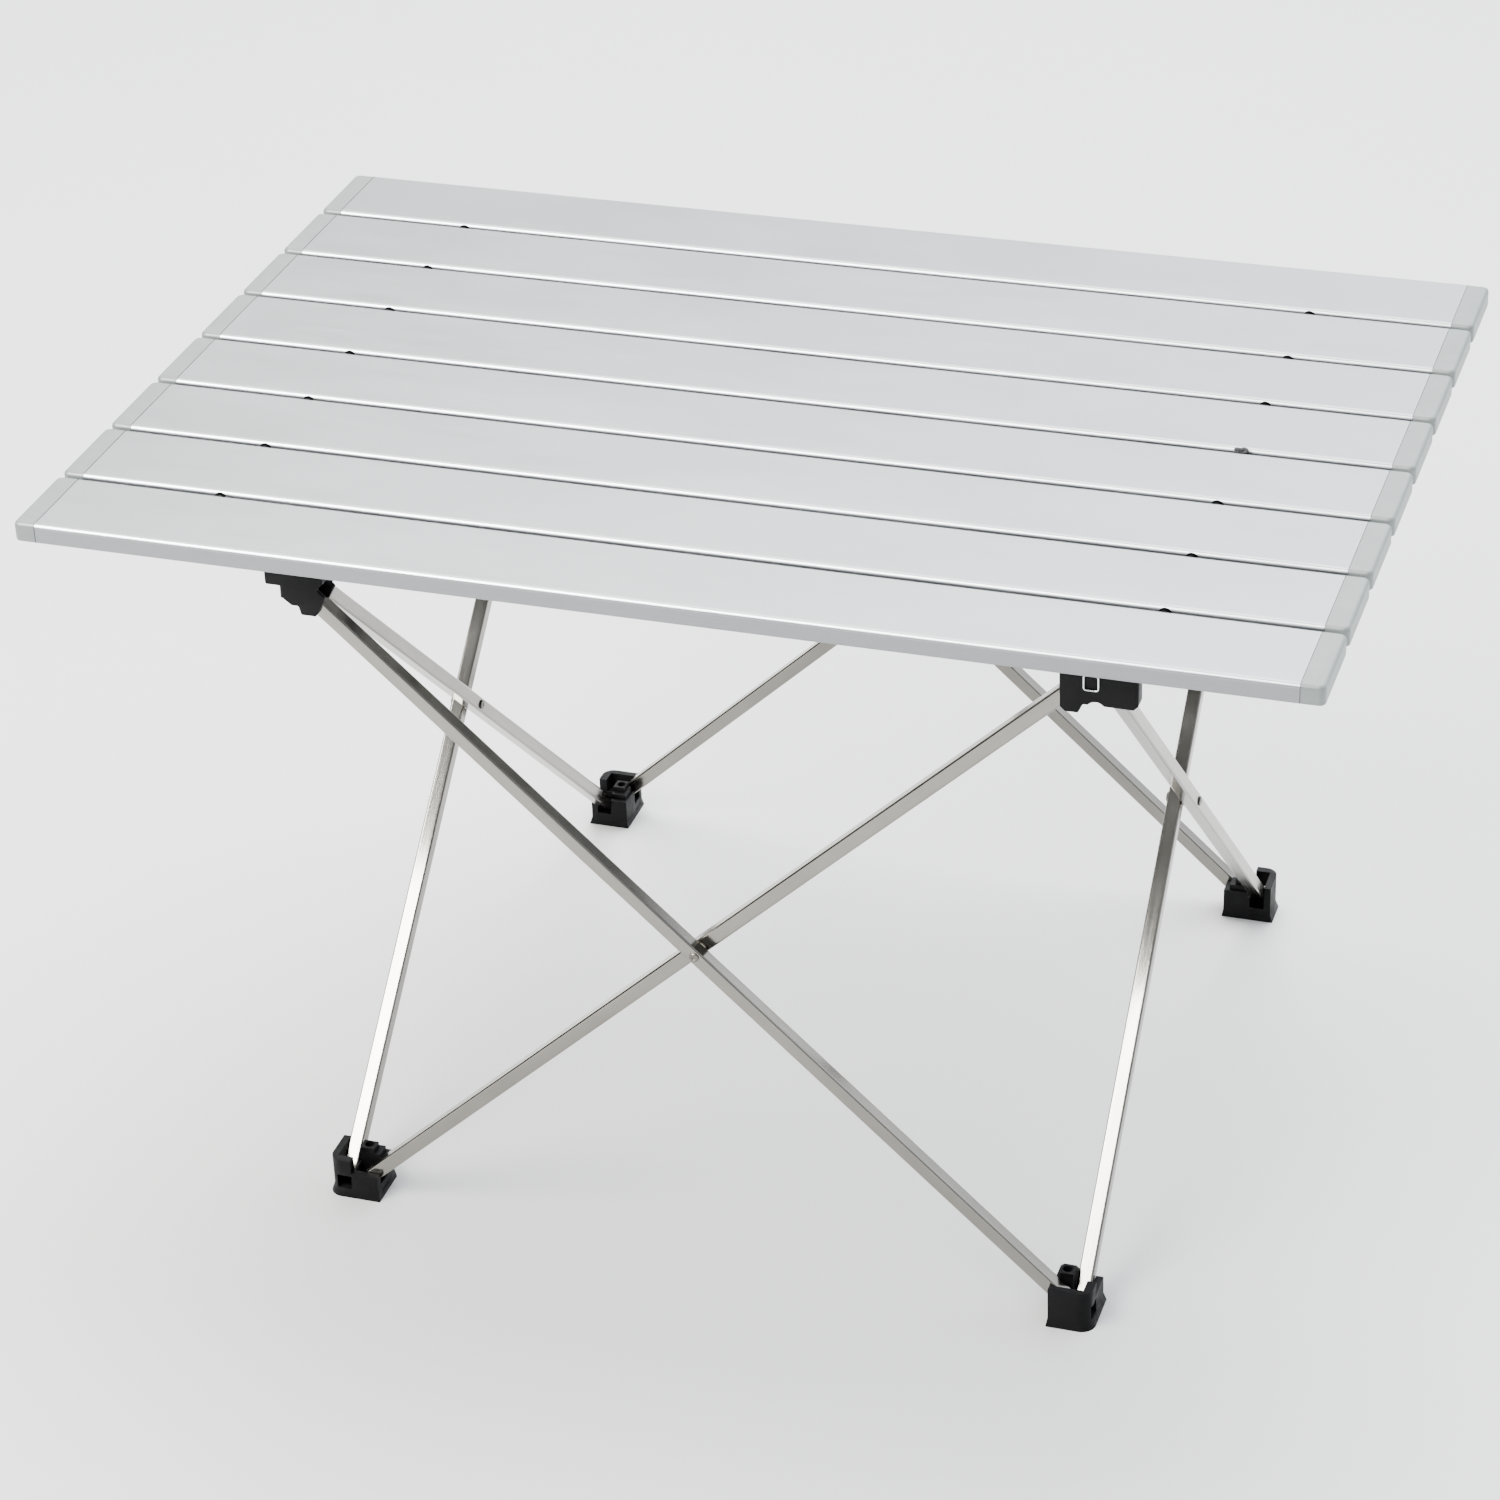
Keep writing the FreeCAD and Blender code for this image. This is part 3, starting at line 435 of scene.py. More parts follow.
def rivet_tree():
    """A hollow rivet head at each point, facing along the point's own axis."""
    tree, given = new_tree("Rivet Heads", (
        ("Radius", "Float"), ("Hole", "Float"), ("Height", "Float"), ("Finish", "Material")))
    band = add_node(tree, "ShaderNodeMath", {"operation": "SUBTRACT"},
                    {0: given.outputs["Radius"], 1: given.outputs["Hole"]})
    both = add_node(tree, "ShaderNodeMath", {"operation": "ADD"},
                    {0: given.outputs["Radius"], 1: given.outputs["Hole"]})
    middle = add_node(tree, "ShaderNodeMath", {"operation": "MULTIPLY"},
                      {0: both.outputs[0], 1: 0.5})
    rim = add_node(tree, "GeometryNodeCurvePrimitiveCircle",
                   inputs={"Resolution": 32, "Radius": middle.outputs[0]})
    section = add_node(tree, "GeometryNodeCurvePrimitiveQuadrilateral",
                       inputs={"Width": band.outputs[0], "Height": given.outputs["Height"]})
    corner = add_node(tree, "ShaderNodeMath", {"operation": "MULTIPLY"},
                      {0: given.outputs["Height"], 1: RIVET_EDGE_SHARE})
    rounded = add_node(tree, "GeometryNodeFilletCurve", {"mode": "POLY"},
                       {"Curve": section.outputs[0], "Radius": corner.outputs[0], "Count": 4})
    ring = add_node(tree, "GeometryNodeCurveToMesh",
                    inputs={"Curve": rim.outputs[0], "Profile Curve": rounded.outputs[0]})
    floor = add_node(tree, "GeometryNodeMeshCylinder",
                     inputs={"Vertices": 24, "Radius": middle.outputs[0],
                             "Depth": RIVET_FLOOR_DEPTH})
    head = add_node(tree, "GeometryNodeJoinGeometry")
    tree.links.new(ring.outputs[0], head.inputs[0])
    tree.links.new(floor.outputs["Mesh"], head.inputs[0])
    axis = add_node(tree, "GeometryNodeInputNamedAttribute", {"data_type": "FLOAT_VECTOR"},
                    {"Name": "axis"})
    turn = add_node(tree, "FunctionNodeAlignRotationToVector", {"axis": "Z"},
                    {"Vector": axis.outputs["Attribute"]})
    heads = add_node(tree, "GeometryNodeInstanceOnPoints",
                     inputs={"Points": given.outputs["Geometry"], "Instance": head.outputs[0],
                             "Rotation": turn.outputs[0]})
    return close_tree(tree, heads.outputs[0], given.outputs["Finish"])


def seam_tree():
    """A thin band round a slat's outline, one at each of the slat's two caps."""
    tree, given = new_tree("Cap Seams", (
        ("Width", "Float"), ("Height", "Float"), ("Reach", "Float"), ("Finish", "Material")))
    outline = add_node(tree, "GeometryNodeMeshToCurve", inputs={"Mesh": given.outputs["Geometry"]})
    section = add_node(tree, "GeometryNodeCurvePrimitiveQuadrilateral",
                       inputs={"Width": given.outputs["Width"],
                               "Height": given.outputs["Height"]})
    band = add_node(tree, "GeometryNodeCurveToMesh",
                    inputs={"Curve": outline.outputs[0], "Profile Curve": section.outputs[0]})
    joined = add_node(tree, "GeometryNodeJoinGeometry")
    for sign in (1.0, -1.0):
        reach = add_node(tree, "ShaderNodeMath", {"operation": "MULTIPLY"},
                         {0: given.outputs["Reach"], 1: sign})
        spot = add_node(tree, "ShaderNodeCombineXYZ", inputs={"X": reach.outputs[0]})
        placed = add_node(tree, "GeometryNodeTransform",
                          inputs={"Geometry": band.outputs[0], "Translation": spot.outputs[0]})
        tree.links.new(placed.outputs[0], joined.inputs[0])
    return close_tree(tree, joined.outputs[0], given.outputs["Finish"], smooth=False)


# ---------------------------------------------------------------- finishes


def new_finish(name, colour, metallic, roughness, ior=None):
    """A material with one Principled shader, and the tree and shader that a pattern links to."""
    material = bpy.data.materials.new(name)
    material.use_nodes = True
    tree = material.node_tree
    shader = next(item for item in tree.nodes if item.type == "BSDF_PRINCIPLED")
    shader.inputs["Base Color"].default_value = linear(colour)
    shader.inputs["Metallic"].default_value = metallic
    shader.inputs["Roughness"].default_value = roughness
    if ior is not None:
        shader.inputs["IOR"].default_value = ior
    return material, tree, shader


def pattern(tree, size, detail, turn=(0.0, 0.0, 0.0)):
    """A cloudy pattern on the piece's own coordinates, its marks of a size in millimetres."""
    place = add_node(tree, "ShaderNodeTexCoord")
    turned = add_node(tree, "ShaderNodeMapping",
                      inputs={"Vector": place.outputs["Object"], "Rotation": turn})
    scaled = add_node(tree, "ShaderNodeMapping",
                      inputs={"Vector": turned.outputs[0],
                              "Scale": tuple(1 / (length * MM) for length in size)})
    return add_node(tree, "ShaderNodeTexNoise",
                    inputs={"Vector": scaled.outputs[0], "Scale": 1.0, "Detail": detail,
                            "Roughness": 0.55}).outputs["Fac"]


def spread(tree, value, low, high):
    """Map a pattern's middle range onto low to high."""
    return add_node(tree, "ShaderNodeMapRange",
                    inputs={"Value": value, "From Min": 0.3, "From Max": 0.7,
                            "To Min": low, "To Max": high}).outputs[0]


def tinted(tree, value, dark, light):
    """A colour between two, by a pattern's value."""
    mix = add_node(tree, "ShaderNodeMix", {"data_type": "RGBA"})
    colours = [socket for socket in mix.inputs if socket.type == "RGBA"]
    colours[0].default_value = dark
    colours[1].default_value = light
    tree.links.new(value, mix.inputs["Factor"])
    return next(socket for socket in mix.outputs if socket.type == "RGBA")


def shade(colour, factor):
    """A colour made darker or lighter by a factor."""
    return (*(min(1.0, channel * factor) for channel in colour[:3]), 1.0)


def tone(tree, shader, value, base, dark, light):
    """Colour the surface between two tones of its base colour, by a pattern."""
    colour = tinted(tree, spread(tree, value, 0.0, 1.0), shade(base, dark), shade(base, light))
    tree.links.new(colour, shader.inputs["Base Color"])


def gloss(tree, shader, value, low, high):
    """Vary the roughness between two values, by a pattern."""
    tree.links.new(spread(tree, value, low, high), shader.inputs["Roughness"])


def bump(tree, shader, height, distance, strength):
    """Raise the surface by a pattern, its full height given in metres."""
    raised = add_node(tree, "ShaderNodeBump",
                      inputs={"Height": height, "Distance": distance, "Strength": strength})
    tree.links.new(raised.outputs[0], shader.inputs["Normal"])


def satin_anodised_aluminium(colours):
    """Extruded, brushed along its length and clear anodised: a soft sheen with fine long lines,
    and painted shade on the side walls.
    """
    material, tree, shader = new_finish("Satin Anodised Aluminium", colours.slat_colour, 1.0, 0.36)
    base = linear(colours.slat_colour)
    # Brush lines 0.5 mm apart and 60 mm long, coarser than real so that they show.
    lines = pattern(tree, (60, 0.5, 0.5), 2.0)
    # Clouding of the anodised layer, a few centimetres across.
    cloud = pattern(tree, (90, 30, 30), 2.0)
    brushed = add_node(tree, "ShaderNodeMath", {"operation": "MULTIPLY"},
                       {0: lines, 1: BRUSH_SHARE})
    blended = add_node(tree, "ShaderNodeMath", {"operation": "MULTIPLY_ADD"},
                       {0: cloud, 1: 1 - BRUSH_SHARE, 2: brushed.outputs[0]}).outputs[0]
    deck = tinted(tree, spread(tree, blended, 0.0, 1.0), shade(base, 0.93), shade(base, 1.05))
    # Painted shade: the side walls are darkened below the deck's edge, and their real finish isn't
    # known.
    place = add_node(tree, "ShaderNodeTexCoord")
    ways = add_node(tree, "ShaderNodeSeparateXYZ", inputs={"Vector": place.outputs["Object"]})
    top = CAD_BOX[1].z
    upward = add_node(tree, "ShaderNodeMapRange",
                      inputs={"Value": ways.outputs["Z"], "From Min": top - WALL_SHADE_FULL_DEPTH,
                              "From Max": top - WALL_SHADE_CLEAR_DEPTH,
                              "To Min": WALL_PAINTED_SHADE, "To Max": 1.0})
    deck_with_wall_shade = add_node(tree, "ShaderNodeVectorMath", {"operation": "SCALE"},
                     {0: deck, "Scale": upward.outputs[0]})
    tree.links.new(deck_with_wall_shade.outputs[0], shader.inputs["Base Color"])
    gloss(tree, shader, blended, 0.31, 0.42)
    bump(tree, shader, lines, 0.00002, 0.5)
    return material


def bright_drawn_aluminium(colours, name, axis):
    """Square tube, cold drawn and bright dipped: near mirror, with drawing lines along it."""
    material, tree, shader = new_finish("Bright Drawn Aluminium " + name,
                                        colours.tube_colour, 1.0, 0.16)
    base = linear(colours.tube_colour)
    turn = Vector((1, 0, 0)).rotation_difference(axis).inverted().to_euler()
    # Drawing lines 0.4 mm apart and 80 mm long, coarser than real so that they show.
    lines = pattern(tree, (80, 0.4, 0.4), 2.0, turn)
    stains = pattern(tree, (40, 12, 12), 3.0, turn)
    tone(tree, shader, stains, base, 0.90, 1.04)
    gloss(tree, shader, lines, 0.11, 0.22)
    bump(tree, shader, lines, 0.00002, 0.4)
    return material


def moulded_abs(colours):
    """Silver-grey ABS, moulded with a fine spark-eroded grain: dull, faintly speckled."""
    material, tree, shader = new_finish("Moulded ABS", colours.cap_colour, 0.0, 0.42, 1.54)
    base = linear(colours.cap_colour)
    # Grain 0.35 mm across, and soft flow marks a centimetre across.
    grain = pattern(tree, (0.35,) * 3, 2.0)
    flow = pattern(tree, (12,) * 3, 3.0)
    tone(tree, shader, flow, base, 0.94, 1.05)
    gloss(tree, shader, grain, 0.36, 0.50)
    bump(tree, shader, grain, 0.00003, 0.5)
    return material


def glass_filled_nylon(colours):
    """Black nylon with glass fibre, moulded: dull black, with a fine orange peel and grey flow."""
    material, tree, shader = new_finish("Glass Filled Nylon", colours.nylon_colour, 0.0, 0.5, 1.53)
    base = linear(colours.nylon_colour)
    shader.inputs["Specular IOR Level"].default_value = 0.10
    # Orange peel 0.6 mm across, and flow marks 5 mm across.
    peel = pattern(tree, (0.6,) * 3, 3.0)
    flow = pattern(tree, (5,) * 3, 4.0)
    tone(tree, shader, flow, base, 0.8, 1.9)
    gloss(tree, shader, flow, 0.40, 0.56)
    bump(tree, shader, peel, 0.00005, 0.5)
    return material


def shared_nylon(colours):
    """The one nylon that the hubs and the eyelets share."""
    return bpy.data.materials.get("Glass Filled Nylon") or glass_filled_nylon(colours)


def braided_polyester(colours):
    """Woven polyester cover of the elastic cord: matt, with a soft lint and pale thread ends."""
    material, tree, shader = new_finish("Braided Polyester", colours.cord_colour, 0.0, 0.78, 1.5)
    base = linear(colours.cord_colour)
    shader.inputs["Sheen Weight"].default_value = 0.35
    # Threads 0.25 mm across.
    threads = pattern(tree, (0.25, 0.8, 0.25), 3.0)
    tone(tree, shader, threads, base, 0.6, 3.0)
    bump(tree, shader, threads, 0.00006, 0.8)
    return material


def natural_nylon(colours):
    """Uncoloured nylon washer: milky and waxy."""
    material, tree, shader = new_finish("Natural Nylon", colours.washer_colour, 0.0, 0.45, 1.53)
    base = linear(colours.washer_colour)
    cloud = pattern(tree, (2,) * 3, 2.0)
    tone(tree, shader, cloud, base, 0.9, 1.1)
    bump(tree, shader, cloud, 0.00003, 0.4)
    return material


def plated_steel(name, colour, low, high):
    """Zinc-plated steel: bright, with cloudy plating and small turning marks."""
    material, tree, shader = new_finish(name, colour, 1.0, (low + high) / 2)
    base = linear(colour)
    cloud = pattern(tree, (1.5,) * 3, 3.0)
    marks = pattern(tree, (0.3,) * 3, 2.0)
    tone(tree, shader, cloud, base, 0.82, 1.1)
    gloss(tree, shader, cloud, low, high)
    bump(tree, shader, marks, 0.00002, 0.5)
    return material


def shadow_rubber():
    """Thin dark line of the joint between a cap and its slat: dull and almost black."""
    material, tree, shader = new_finish("Joint Line", JOINT_LINE_COLOUR, 0.0, 0.7, 1.5)
    base = linear(JOINT_LINE_COLOUR)
    cloud = pattern(tree, (4,) * 3, 2.0)
    tone(tree, shader, cloud, base, 0.8, 1.2)
    return material


def pale_floor(colour):
    """Painted studio floor: smooth, matt and nearly white."""
    material, tree, shader = new_finish("Painted Floor", colour, 0.0, 0.65, 1.5)
    base = linear(colour)
    cloud = pattern(tree, (400,) * 3, 2.0)
    tone(tree, shader, cloud, base, 0.99, 1.01)
    return material


# ---------------------------------------------------------------- operators


class TABLE_OT_paint_slats(bpy.types.Operator):
    """Finish the slats and their end caps"""

    bl_idname = "side_table.paint_slats"
    bl_label = "Slats and Caps"

    def execute(self, context):
        colours = context.scene.side_table_finish
        aluminium, plastic = satin_anodised_aluminium(colours), moulded_abs(colours)
        for index in SLATS:
            repaint("slat_%d" % index, aluminium)
            repaint("end_caps_%d" % index, plastic)
        return {"FINISHED"}


class TABLE_OT_cap_seams(bpy.types.Operator):
    """Draw the shadow line where each end cap meets its slat"""

    bl_idname = "side_table.cap_seams"
    bl_label = "Cap Seams"

    def execute(self, context):
        sizes = context.scene.side_table_detail
        tree, finish = seam_tree(), shadow_rubber()
        for index in SLATS:
            low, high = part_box("slat_%d" % index)
            outline = path_mesh("outline", slat_outline(low, high), closed=True)
            piece = run_tree("cap_seams_%d" % index, tree, outline, {
                "Width": SEAM_WIDTH, "Height": sizes.seam_height, "Reach": high.x,
                "Finish": finish})
            finish_piece(piece, "slat_%d" % index)
        return {"FINISHED"}


def slat_outline(low, high):
    """The slat's outline in its cross-section, with an arc at each of its four edges."""
    points = []
    corners = ((high.y, high.z, DECK_EDGE_RADIUS, 1, 1), (low.y, high.z, DECK_EDGE_RADIUS, -1, 1),
               (low.y, low.z, LIP_EDGE_RADIUS, -1, -1), (high.y, low.z, LIP_EDGE_RADIUS, 1, -1))
    for quarter, (y, z, radius, side_y, side_z) in enumerate(corners):
        for step in range(ARC_STEPS + 1):
            angle = math.pi / 2 * (quarter + step / ARC_STEPS)
            points.append((0.0, y - side_y * radius + radius * math.cos(angle),
                           z - side_z * radius + radius * math.sin(angle)))
    return points


class TABLE_OT_paint_frame(bpy.types.Operator):
    """Finish the legs, the washers between them and the pins"""

    bl_idname = "side_table.paint_frame"
    bl_label = "Legs"

    def execute(self, context):
        colours = context.scene.side_table_finish
        washer = natural_nylon(colours)
        pins = plated_steel("Plated Steel Pins", colours.steel_colour, 0.22, 0.38)
        for side, (side_x, side_y) in SIDES.items():
            for leg in ("inner", "outer"):
                name = "%s_leg_%s" % (side, leg)
                low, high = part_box(name)
                run, rise = max(high.x - low.x, high.y - low.y), high.z - low.z
                # Seen from outside, an inner leg rises to the right and an outer one to the left.
                lean = 1 if leg == "inner" else -1
                axis = Vector((-side_y * lean * run, side_x * lean * run, rise)).normalized()
                repaint(name, bright_drawn_aluminium(colours, name, axis))
            repaint(side + "_spacer", washer)
        for corner in CORNERS:
            repaint("foot_pins_" + corner, pins)
            repaint("clip_pins_" + corner, pins)
        return {"FINISHED"}


class TABLE_OT_hubs(bpy.types.Operator):
    """Clips and feet: the moulded hubs with softened edges"""

    bl_idname = "side_table.hubs"
    bl_label = "Clips and Feet"

    def execute(self, context):
        bevel = context.scene.side_table_detail.hub_bevel
        nylon = shared_nylon(context.scene.side_table_finish)
        for corner in CORNERS:
            for kind in ("clip", "foot"):
                name = "%s_%s" % (kind, corner)
                piece = softened_copy(NODES[name], "moulded_" + name, bevel)
                finish_piece(piece, name, (name,), nylon)
        return {"FINISHED"}


def softened_copy(source, label, radius):
    """A copy of a CAD node with its loose triangles merged and its edges rounded."""
    shape = bmesh.new()
    shape.from_mesh(source.data)
    bmesh.ops.remove_doubles(shape, verts=shape.verts, dist=MERGE_DISTANCE)
    bmesh.ops.dissolve_limit(shape, angle_limit=FLAT_ANGLE, verts=shape.verts,
                             edges=shape.edges)
    bmesh.ops.recalc_face_normals(shape, faces=shape.faces)
    for face in shape.faces:
        face.smooth = True
    for edge in shape.edges:
        edge.smooth = True
    mesh = bpy.data.meshes.new(label)
    shape.to_mesh(mesh)
    shape.free()
    piece = link_piece(label, mesh)
    rounding = piece.modifiers.new("Edges", "BEVEL")
    rounding.width = radius
    rounding.segments = EDGE_SEGMENTS
    rounding.limit_method = "ANGLE"
    rounding.angle_limit = EDGE_ANGLE
    rounding.harden_normals = True
    graph = bpy.context.evaluated_depsgraph_get()
    result = bpy.data.meshes.new_from_object(piece.evaluated_get(graph), depsgraph=graph)
    bpy.data.objects.remove(piece)
    result.name = label
    return link_piece(label, result)


class TABLE_OT_cords(bpy.types.Operator):
    """Braided elastic cords: each slat carries its own stretch, to the middle of its gaps"""

    bl_idname = "side_table.cords"
    bl_label = "Elastic Cords"

    def execute(self, context):
        sizes = context.scene.side_table_detail
        tree, tube = braid_tree(), wire_tree()
        braid = braided_polyester(context.scene.side_table_finish)
        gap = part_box("slat_1")[0].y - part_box("slat_2")[1].y
        for index in SLATS:
            parts = []
            for side in ("left", "right"):
                low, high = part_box("elastic_cord_" + side)
                x, z = (low.x + high.x) / 2, (low.z + high.z) / 2
                slat_low, slat_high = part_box("slat_%d" % index)
                start = max(slat_low.y - gap / 2, low.y)
                end = min(slat_high.y + gap / 2, high.y)
                path = path_mesh("path", [(x, start, z), (x, end, z)])
                parts.append(run_tree("stretch", tree, path, {
                    "Radius": sizes.cord_radius, "Strand Radius": sizes.strand_radius,
                    "Strands": sizes.strand_count, "Lead": sizes.braid_lead, "Finish": braid}))
                knots = []
                if start == low.y:
                    knots.append(((x, start + END_KNOT_INSET, z), END_KNOT_STRETCH))
                if end == high.y:
                    knots.append(((x, end - END_KNOT_INSET, z), END_KNOT_STRETCH))
                if index == JOINING_KNOT_SLAT and side == "right":
                    top = CAD_BOX[1].z - JOINING_KNOT_DROP
                    knots.append(((x, slat_low.y - gap / 2, top), JOINING_KNOT_STRETCH))
                for centre, stretch in knots:
                    loop = path_mesh("knot", knot_points(centre, stretch), closed=True)
                    parts.append(run_tree("knot", tube, loop, {
                        "Radius": KNOT_CORD_SHARE * sizes.cord_radius, "Bend": 0.0,
                        "Finish": braid}))
            piece = join_pieces("elastic_cords_%d" % index, parts)
            finish_piece(piece, "slat_%d" % index,
                         ("elastic_cord_left", "elastic_cord_right"))
        return {"FINISHED"}


class TABLE_OT_eyelets(bpy.types.Operator):
    """Black eyelets with a rounded flange where the cords pass through the slats' walls"""

    bl_idname = "side_table.eyelets"
    bl_label = "Cord Eyelets"

    def execute(self, context):
        sizes = context.scene.side_table_detail
        nylon, tree = shared_nylon(context.scene.side_table_finish), rivet_tree()
        for index in SLATS:
            low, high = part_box("slat_%d" % index)
            places, axes = [], []
            for cord in ("left", "right"):
                cord_low, cord_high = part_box("elastic_cord_" + cord)
                x = (cord_low.x + cord_high.x) / 2
                z = (cord_low.z + cord_high.z) / 2 + EYELET_RISE
                for wall, out, outer_slat in ((high.y, 1, SLATS[0]), (low.y, -1, SLATS[-1])):
                    if index != outer_slat:
                        places.append(Vector((x, wall + out * sizes.eyelet_depth / 2, z)))
                        axes.append(Vector((0, out, 0)))
            piece = run_tree("cord_eyelets_%d" % index, tree, axis_points(places, axes), {
                "Radius": sizes.eyelet_radius, "Hole": EYELET_HOLE, "Height": sizes.eyelet_depth,
                "Finish": nylon})
            finish_piece(piece, "slat_%d" % index, ("cord_bushes_%d" % index,))
        return {"FINISHED"}


def knot_points(centre, stretch):
    """An overhand knot: a trefoil about a point, 1.65 mm in radius before it is stretched."""
    points = []
    for step in range(KNOT_POINTS):
        angle = math.tau * step / KNOT_POINTS
        across = math.sin(angle) + 2 * math.sin(2 * angle)
        up = math.cos(angle) - 2 * math.cos(2 * angle)
        depth = -math.sin(3 * angle)
        offset = Vector((across, depth * KNOT_DEPTH, up)) * KNOT_SCALE
        points.append(Vector(centre) + Vector(a * b for a, b in zip(offset, stretch)))
    return points


class TABLE_OT_rivets(bpy.types.Operator):
    """Hollow rivets at the legs' crossings, and dimpled ends on the hubs' pins"""

    bl_idname = "side_table.rivets"
    bl_label = "Rivets and Pin Ends"

    def execute(self, context):
        sizes = context.scene.side_table_detail
        steel = plated_steel("Plated Steel Rivets", context.scene.side_table_finish.steel_colour,
                             0.24, 0.42)
        tree, shank_tree = rivet_tree(), wire_tree()
        for side, (side_x, side_y) in SIDES.items():
            low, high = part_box(side + "_rivet")
            middle, out = (low + high) / 2, Vector((side_x, side_y, 0))
            half = abs((high - low).dot(out)) / 2
            reach = out * (half - RIVET_HEAD_HEIGHT / 2)
            ends = [middle + reach, middle - reach]
            heads = run_tree("heads", tree, axis_points(ends, [out, -out]), {
                "Radius": sizes.rivet_radius, "Hole": sizes.rivet_hole,
                "Height": RIVET_HEAD_HEIGHT, "Finish": steel})
            shank = run_tree("shank", shank_tree, path_mesh("shank", ends), {
                "Radius": RIVET_SHANK_RADIUS, "Bend": 0.0, "Finish": steel})
            piece = join_pieces("hollow_rivet_" + side, [heads, shank])
            finish_piece(piece, side + "_leg_outer", (side + "_rivet",))
        for corner, (corner_x, corner_y) in CORNERS.items():
            x, y = FRAME_X + corner_x * PIVOT_REACH, corner_y * PIVOT_REACH
            for kind in ("clip", "foot"):
                low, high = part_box("%s_pins_%s" % (kind, corner))
                z = (low.z + high.z) / 2
                ends = [Vector((high.x if corner_x > 0 else low.x, y, z)),
                        Vector((x, high.y if corner_y > 0 else low.y, z))]
                axes = [Vector((corner_x, 0, 0)), Vector((0, corner_y, 0))]
                label = "%s_pin_ends_%s" % (kind, corner)
                piece = run_tree(label, tree, axis_points(ends, axes), {
                    "Radius": PIN_END_RADIUS, "Hole": PIN_END_HOLE, "Height": PIN_END_HEIGHT,
                    "Finish": steel})
                finish_piece(piece, "%s_%s" % (kind, corner))
        return {"FINISHED"}


def axis_points(places, axes):
    """Loose points that each carry a direction."""
    mesh = bpy.data.meshes.new("points")
    mesh.from_pydata([tuple(place) for place in places], [], [])
    attribute = mesh.attributes.new("axis", "FLOAT_VECTOR", "POINT")
    for item, axis in zip(attribute.data, axes):
        item.vector = axis
    return mesh


class TABLE_OT_wire_loops(bpy.types.Operator):
    """Spring wire loops that hang from two of the clips"""

    bl_idname = "side_table.wire_loops"
    bl_label = "Wire Loops"

    def execute(self, context):
        sizes = context.scene.side_table_detail
        wire = plated_steel("Bright Spring Wire", context.scene.side_table_finish.wire_colour,
                            0.10, 0.22)
        tree = wire_tree()
        for corner in LOOP_CORNERS:
            name = "wire_loop_" + corner
            low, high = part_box(name)
            left, right = low.x + LOOP_BEND, high.x - LOOP_BEND
            bottom, top = low.z + LOOP_BEND, high.z - LOOP_BEND
            y, middle = (low.y + high.y) / 2, (low.x + high.x) / 2
            path = [(middle - LOOP_HALF_OPENING, y, top), (left, y, top), (left, y, bottom),
                    (right, y, bottom), (right, y, top), (middle + LOOP_HALF_OPENING, y, top)]
            piece = run_tree("bent_" + name, tree, path_mesh("loop", path), {
                "Radius": sizes.wire_radius, "Bend": sizes.wire_bend, "Finish": wire})
            finish_piece(piece, name, (name,))
        return {"FINISHED"}


class TABLE_OT_stage(bpy.types.Operator):
    """Pale floor, soft studio lights and the camera"""

    bl_idname = "side_table.stage"
    bl_label = "Stage"

    def execute(self, context):
        stage = context.scene.side_table_stage
        floor_mesh = bpy.data.meshes.new("studio_floor")
        edge = FLOOR_EDGE
        corners = [(-edge, -edge, 0), (edge, -edge, 0), (edge, edge, 0), (-edge, edge, 0)]
        floor_mesh.from_pydata(corners, [], [(0, 1, 2, 3)])
        floor_mesh.materials.append(pale_floor(stage.floor_colour))
        link_piece("studio_floor", floor_mesh)

        context.scene.world = studio_walls()
        for light in LIGHTS:
            add_light(*light)

        lens = bpy.data.cameras.new("camera")
        lens.lens = stage.focal_length
        lens.sensor_width = SENSOR_WIDTH
        lens.shift_x = LENS_SHIFT
        camera = bpy.data.objects.new("camera", lens)
        context.scene.collection.objects.link(camera)
        camera.matrix_world = camera_matrix(stage)
        context.scene.camera = camera
        return {"FINISHED"}


def studio_walls():
    """Soft studio walls: bright behind, cooler and brighter to the right, and dim in front."""
    world = bpy.data.worlds.new("Studio")
    world.use_nodes = True
    tree = world.node_tree
    background = next(item for item in tree.nodes if item.type == "BACKGROUND")
    place = add_node(tree, "ShaderNodeTexCoord")
    ways = add_node(tree, "ShaderNodeSeparateXYZ", inputs={"Vector": place.outputs["Generated"]})
    across = add_node(tree, "ShaderNodeMapRange",
                      inputs={"Value": ways.outputs["X"], "From Min": WALL_ACROSS[0],
                              "From Max": WALL_ACROSS[1], "To Min": 0.0, "To Max": 1.0})
    level = add_node(tree, "ShaderNodeMapRange",
                     inputs={"Value": ways.outputs["Z"], "From Min": WALL_LEVEL[0],
                             "From Max": WALL_LEVEL[1], "To Min": WALL_DIMMEST, "To Max": 1.0})
    behind = add_node(tree, "ShaderNodeMapRange",
                      inputs={"Value": ways.outputs["Y"], "From Min": WALL_BEHIND[0],
                              "From Max": WALL_BEHIND[1], "To Min": WALL_DIMMEST, "To Max": 1.0})
    side = add_node(tree, "ShaderNodeMapRange",
                    inputs={"Value": across.outputs[0], "To Min": WALL_STRENGTHS[0],
                            "To Max": WALL_STRENGTHS[1]})
    shaded = add_node(tree, "ShaderNodeMath", {"operation": "MULTIPLY"},
                      {0: level.outputs[0], 1: behind.outputs[0]})
    strength = add_node(tree, "ShaderNodeMath", {"operation": "MULTIPLY"},
                        {0: side.outputs[0], 1: shaded.outputs[0]})
    colour = tinted(tree, across.outputs[0], linear("#F7F7F5"), linear("#EDF2FB"))
    tree.links.new(colour, background.inputs["Color"])
    tree.links.new(strength.outputs[0], background.inputs["Strength"])
    return world


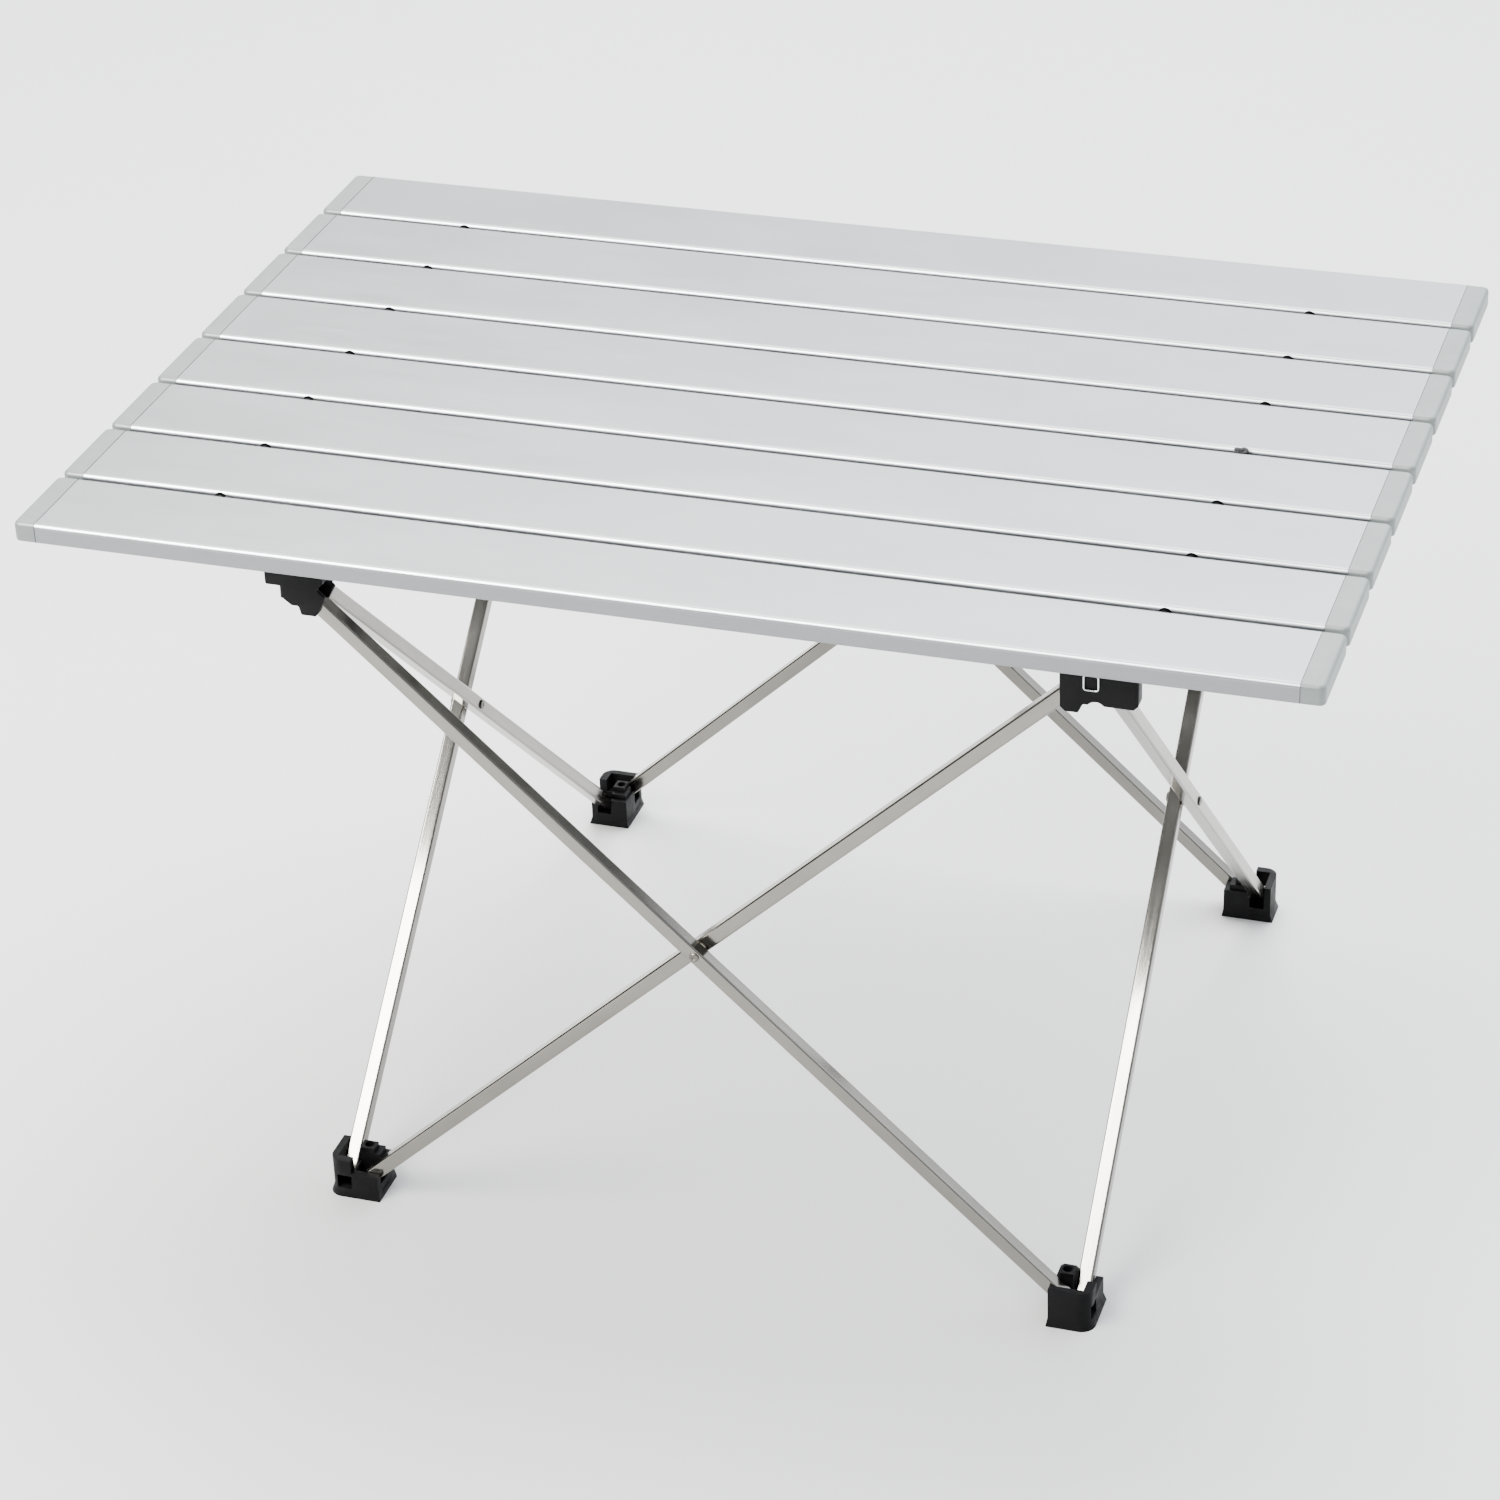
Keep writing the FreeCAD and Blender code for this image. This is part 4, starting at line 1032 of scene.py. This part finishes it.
def add_light(name, place, size, power, colour):
    """A square soft box that faces the table top."""
    data = bpy.data.lights.new(name, "AREA")
    data.shape = "SQUARE"
    data.size = size
    data.energy = power
    data.color = linear(colour)[:3]
    light = bpy.data.objects.new(name, data)
    light.location = place
    light.visible_diffuse = name != GLOSS_ONLY_LIGHT
    target = Vector((0.0, 0.0, CAD_BOX[1].z * LIGHT_TARGET_SHARE))
    light.rotation_euler = (target - Vector(place)).to_track_quat("-Z", "Y").to_euler()
    bpy.context.scene.collection.objects.link(light)


def camera_matrix(stage):
    """The camera's place and turn from its heading, tilt and roll."""
    heading, tilt, roll = -stage.heading, stage.tilt, stage.roll
    ahead = Vector((math.sin(heading) * math.cos(tilt), math.cos(heading) * math.cos(tilt),
                    -math.sin(tilt)))
    level = Vector((math.cos(heading), -math.sin(heading), 0.0))
    upward = level.cross(ahead)
    right = math.cos(roll) * level + math.sin(roll) * upward
    top = -math.sin(roll) * level + math.cos(roll) * upward
    turned = Matrix((right, top, -ahead)).transposed().to_4x4()
    turned.translation = stage.camera_place
    return turned


class TABLE_PT_panel(bpy.types.Panel):
    """Steps that build the table's looks"""

    bl_label = "Folding Side Table"
    bl_idname = "TABLE_PT_panel"
    bl_space_type = "VIEW_3D"
    bl_region_type = "UI"
    bl_category = "Side Table"

    def draw(self, context):
        for group in ("side_table_finish", "side_table_detail", "side_table_stage"):
            settings = getattr(context.scene, group)
            for name in settings.__annotations__:
                self.layout.prop(settings, name)
        for step in STEPS:
            self.layout.operator(step.bl_idname)


STEPS = (TABLE_OT_paint_slats, TABLE_OT_cap_seams, TABLE_OT_paint_frame, TABLE_OT_hubs,
         TABLE_OT_cords, TABLE_OT_eyelets, TABLE_OT_rivets, TABLE_OT_wire_loops, TABLE_OT_stage)
GROUPS = (FinishSettings, DetailSettings, StageSettings)


def register():
    for item in GROUPS + STEPS + (TABLE_PT_panel,):
        bpy.utils.register_class(item)
    bpy.types.Scene.side_table_finish = bpy.props.PointerProperty(type=FinishSettings)
    bpy.types.Scene.side_table_detail = bpy.props.PointerProperty(type=DetailSettings)
    bpy.types.Scene.side_table_stage = bpy.props.PointerProperty(type=StageSettings)


def unregister():
    del bpy.types.Scene.side_table_finish
    del bpy.types.Scene.side_table_detail
    del bpy.types.Scene.side_table_stage
    for item in reversed(GROUPS + STEPS + (TABLE_PT_panel,)):
        bpy.utils.unregister_class(item)


def main():
    """Build everything in order."""
    register()
    for step in STEPS:
        name = step.bl_idname.split(".")[1]
        getattr(bpy.ops.side_table, name)()


if __name__ == "__main__":
    main()
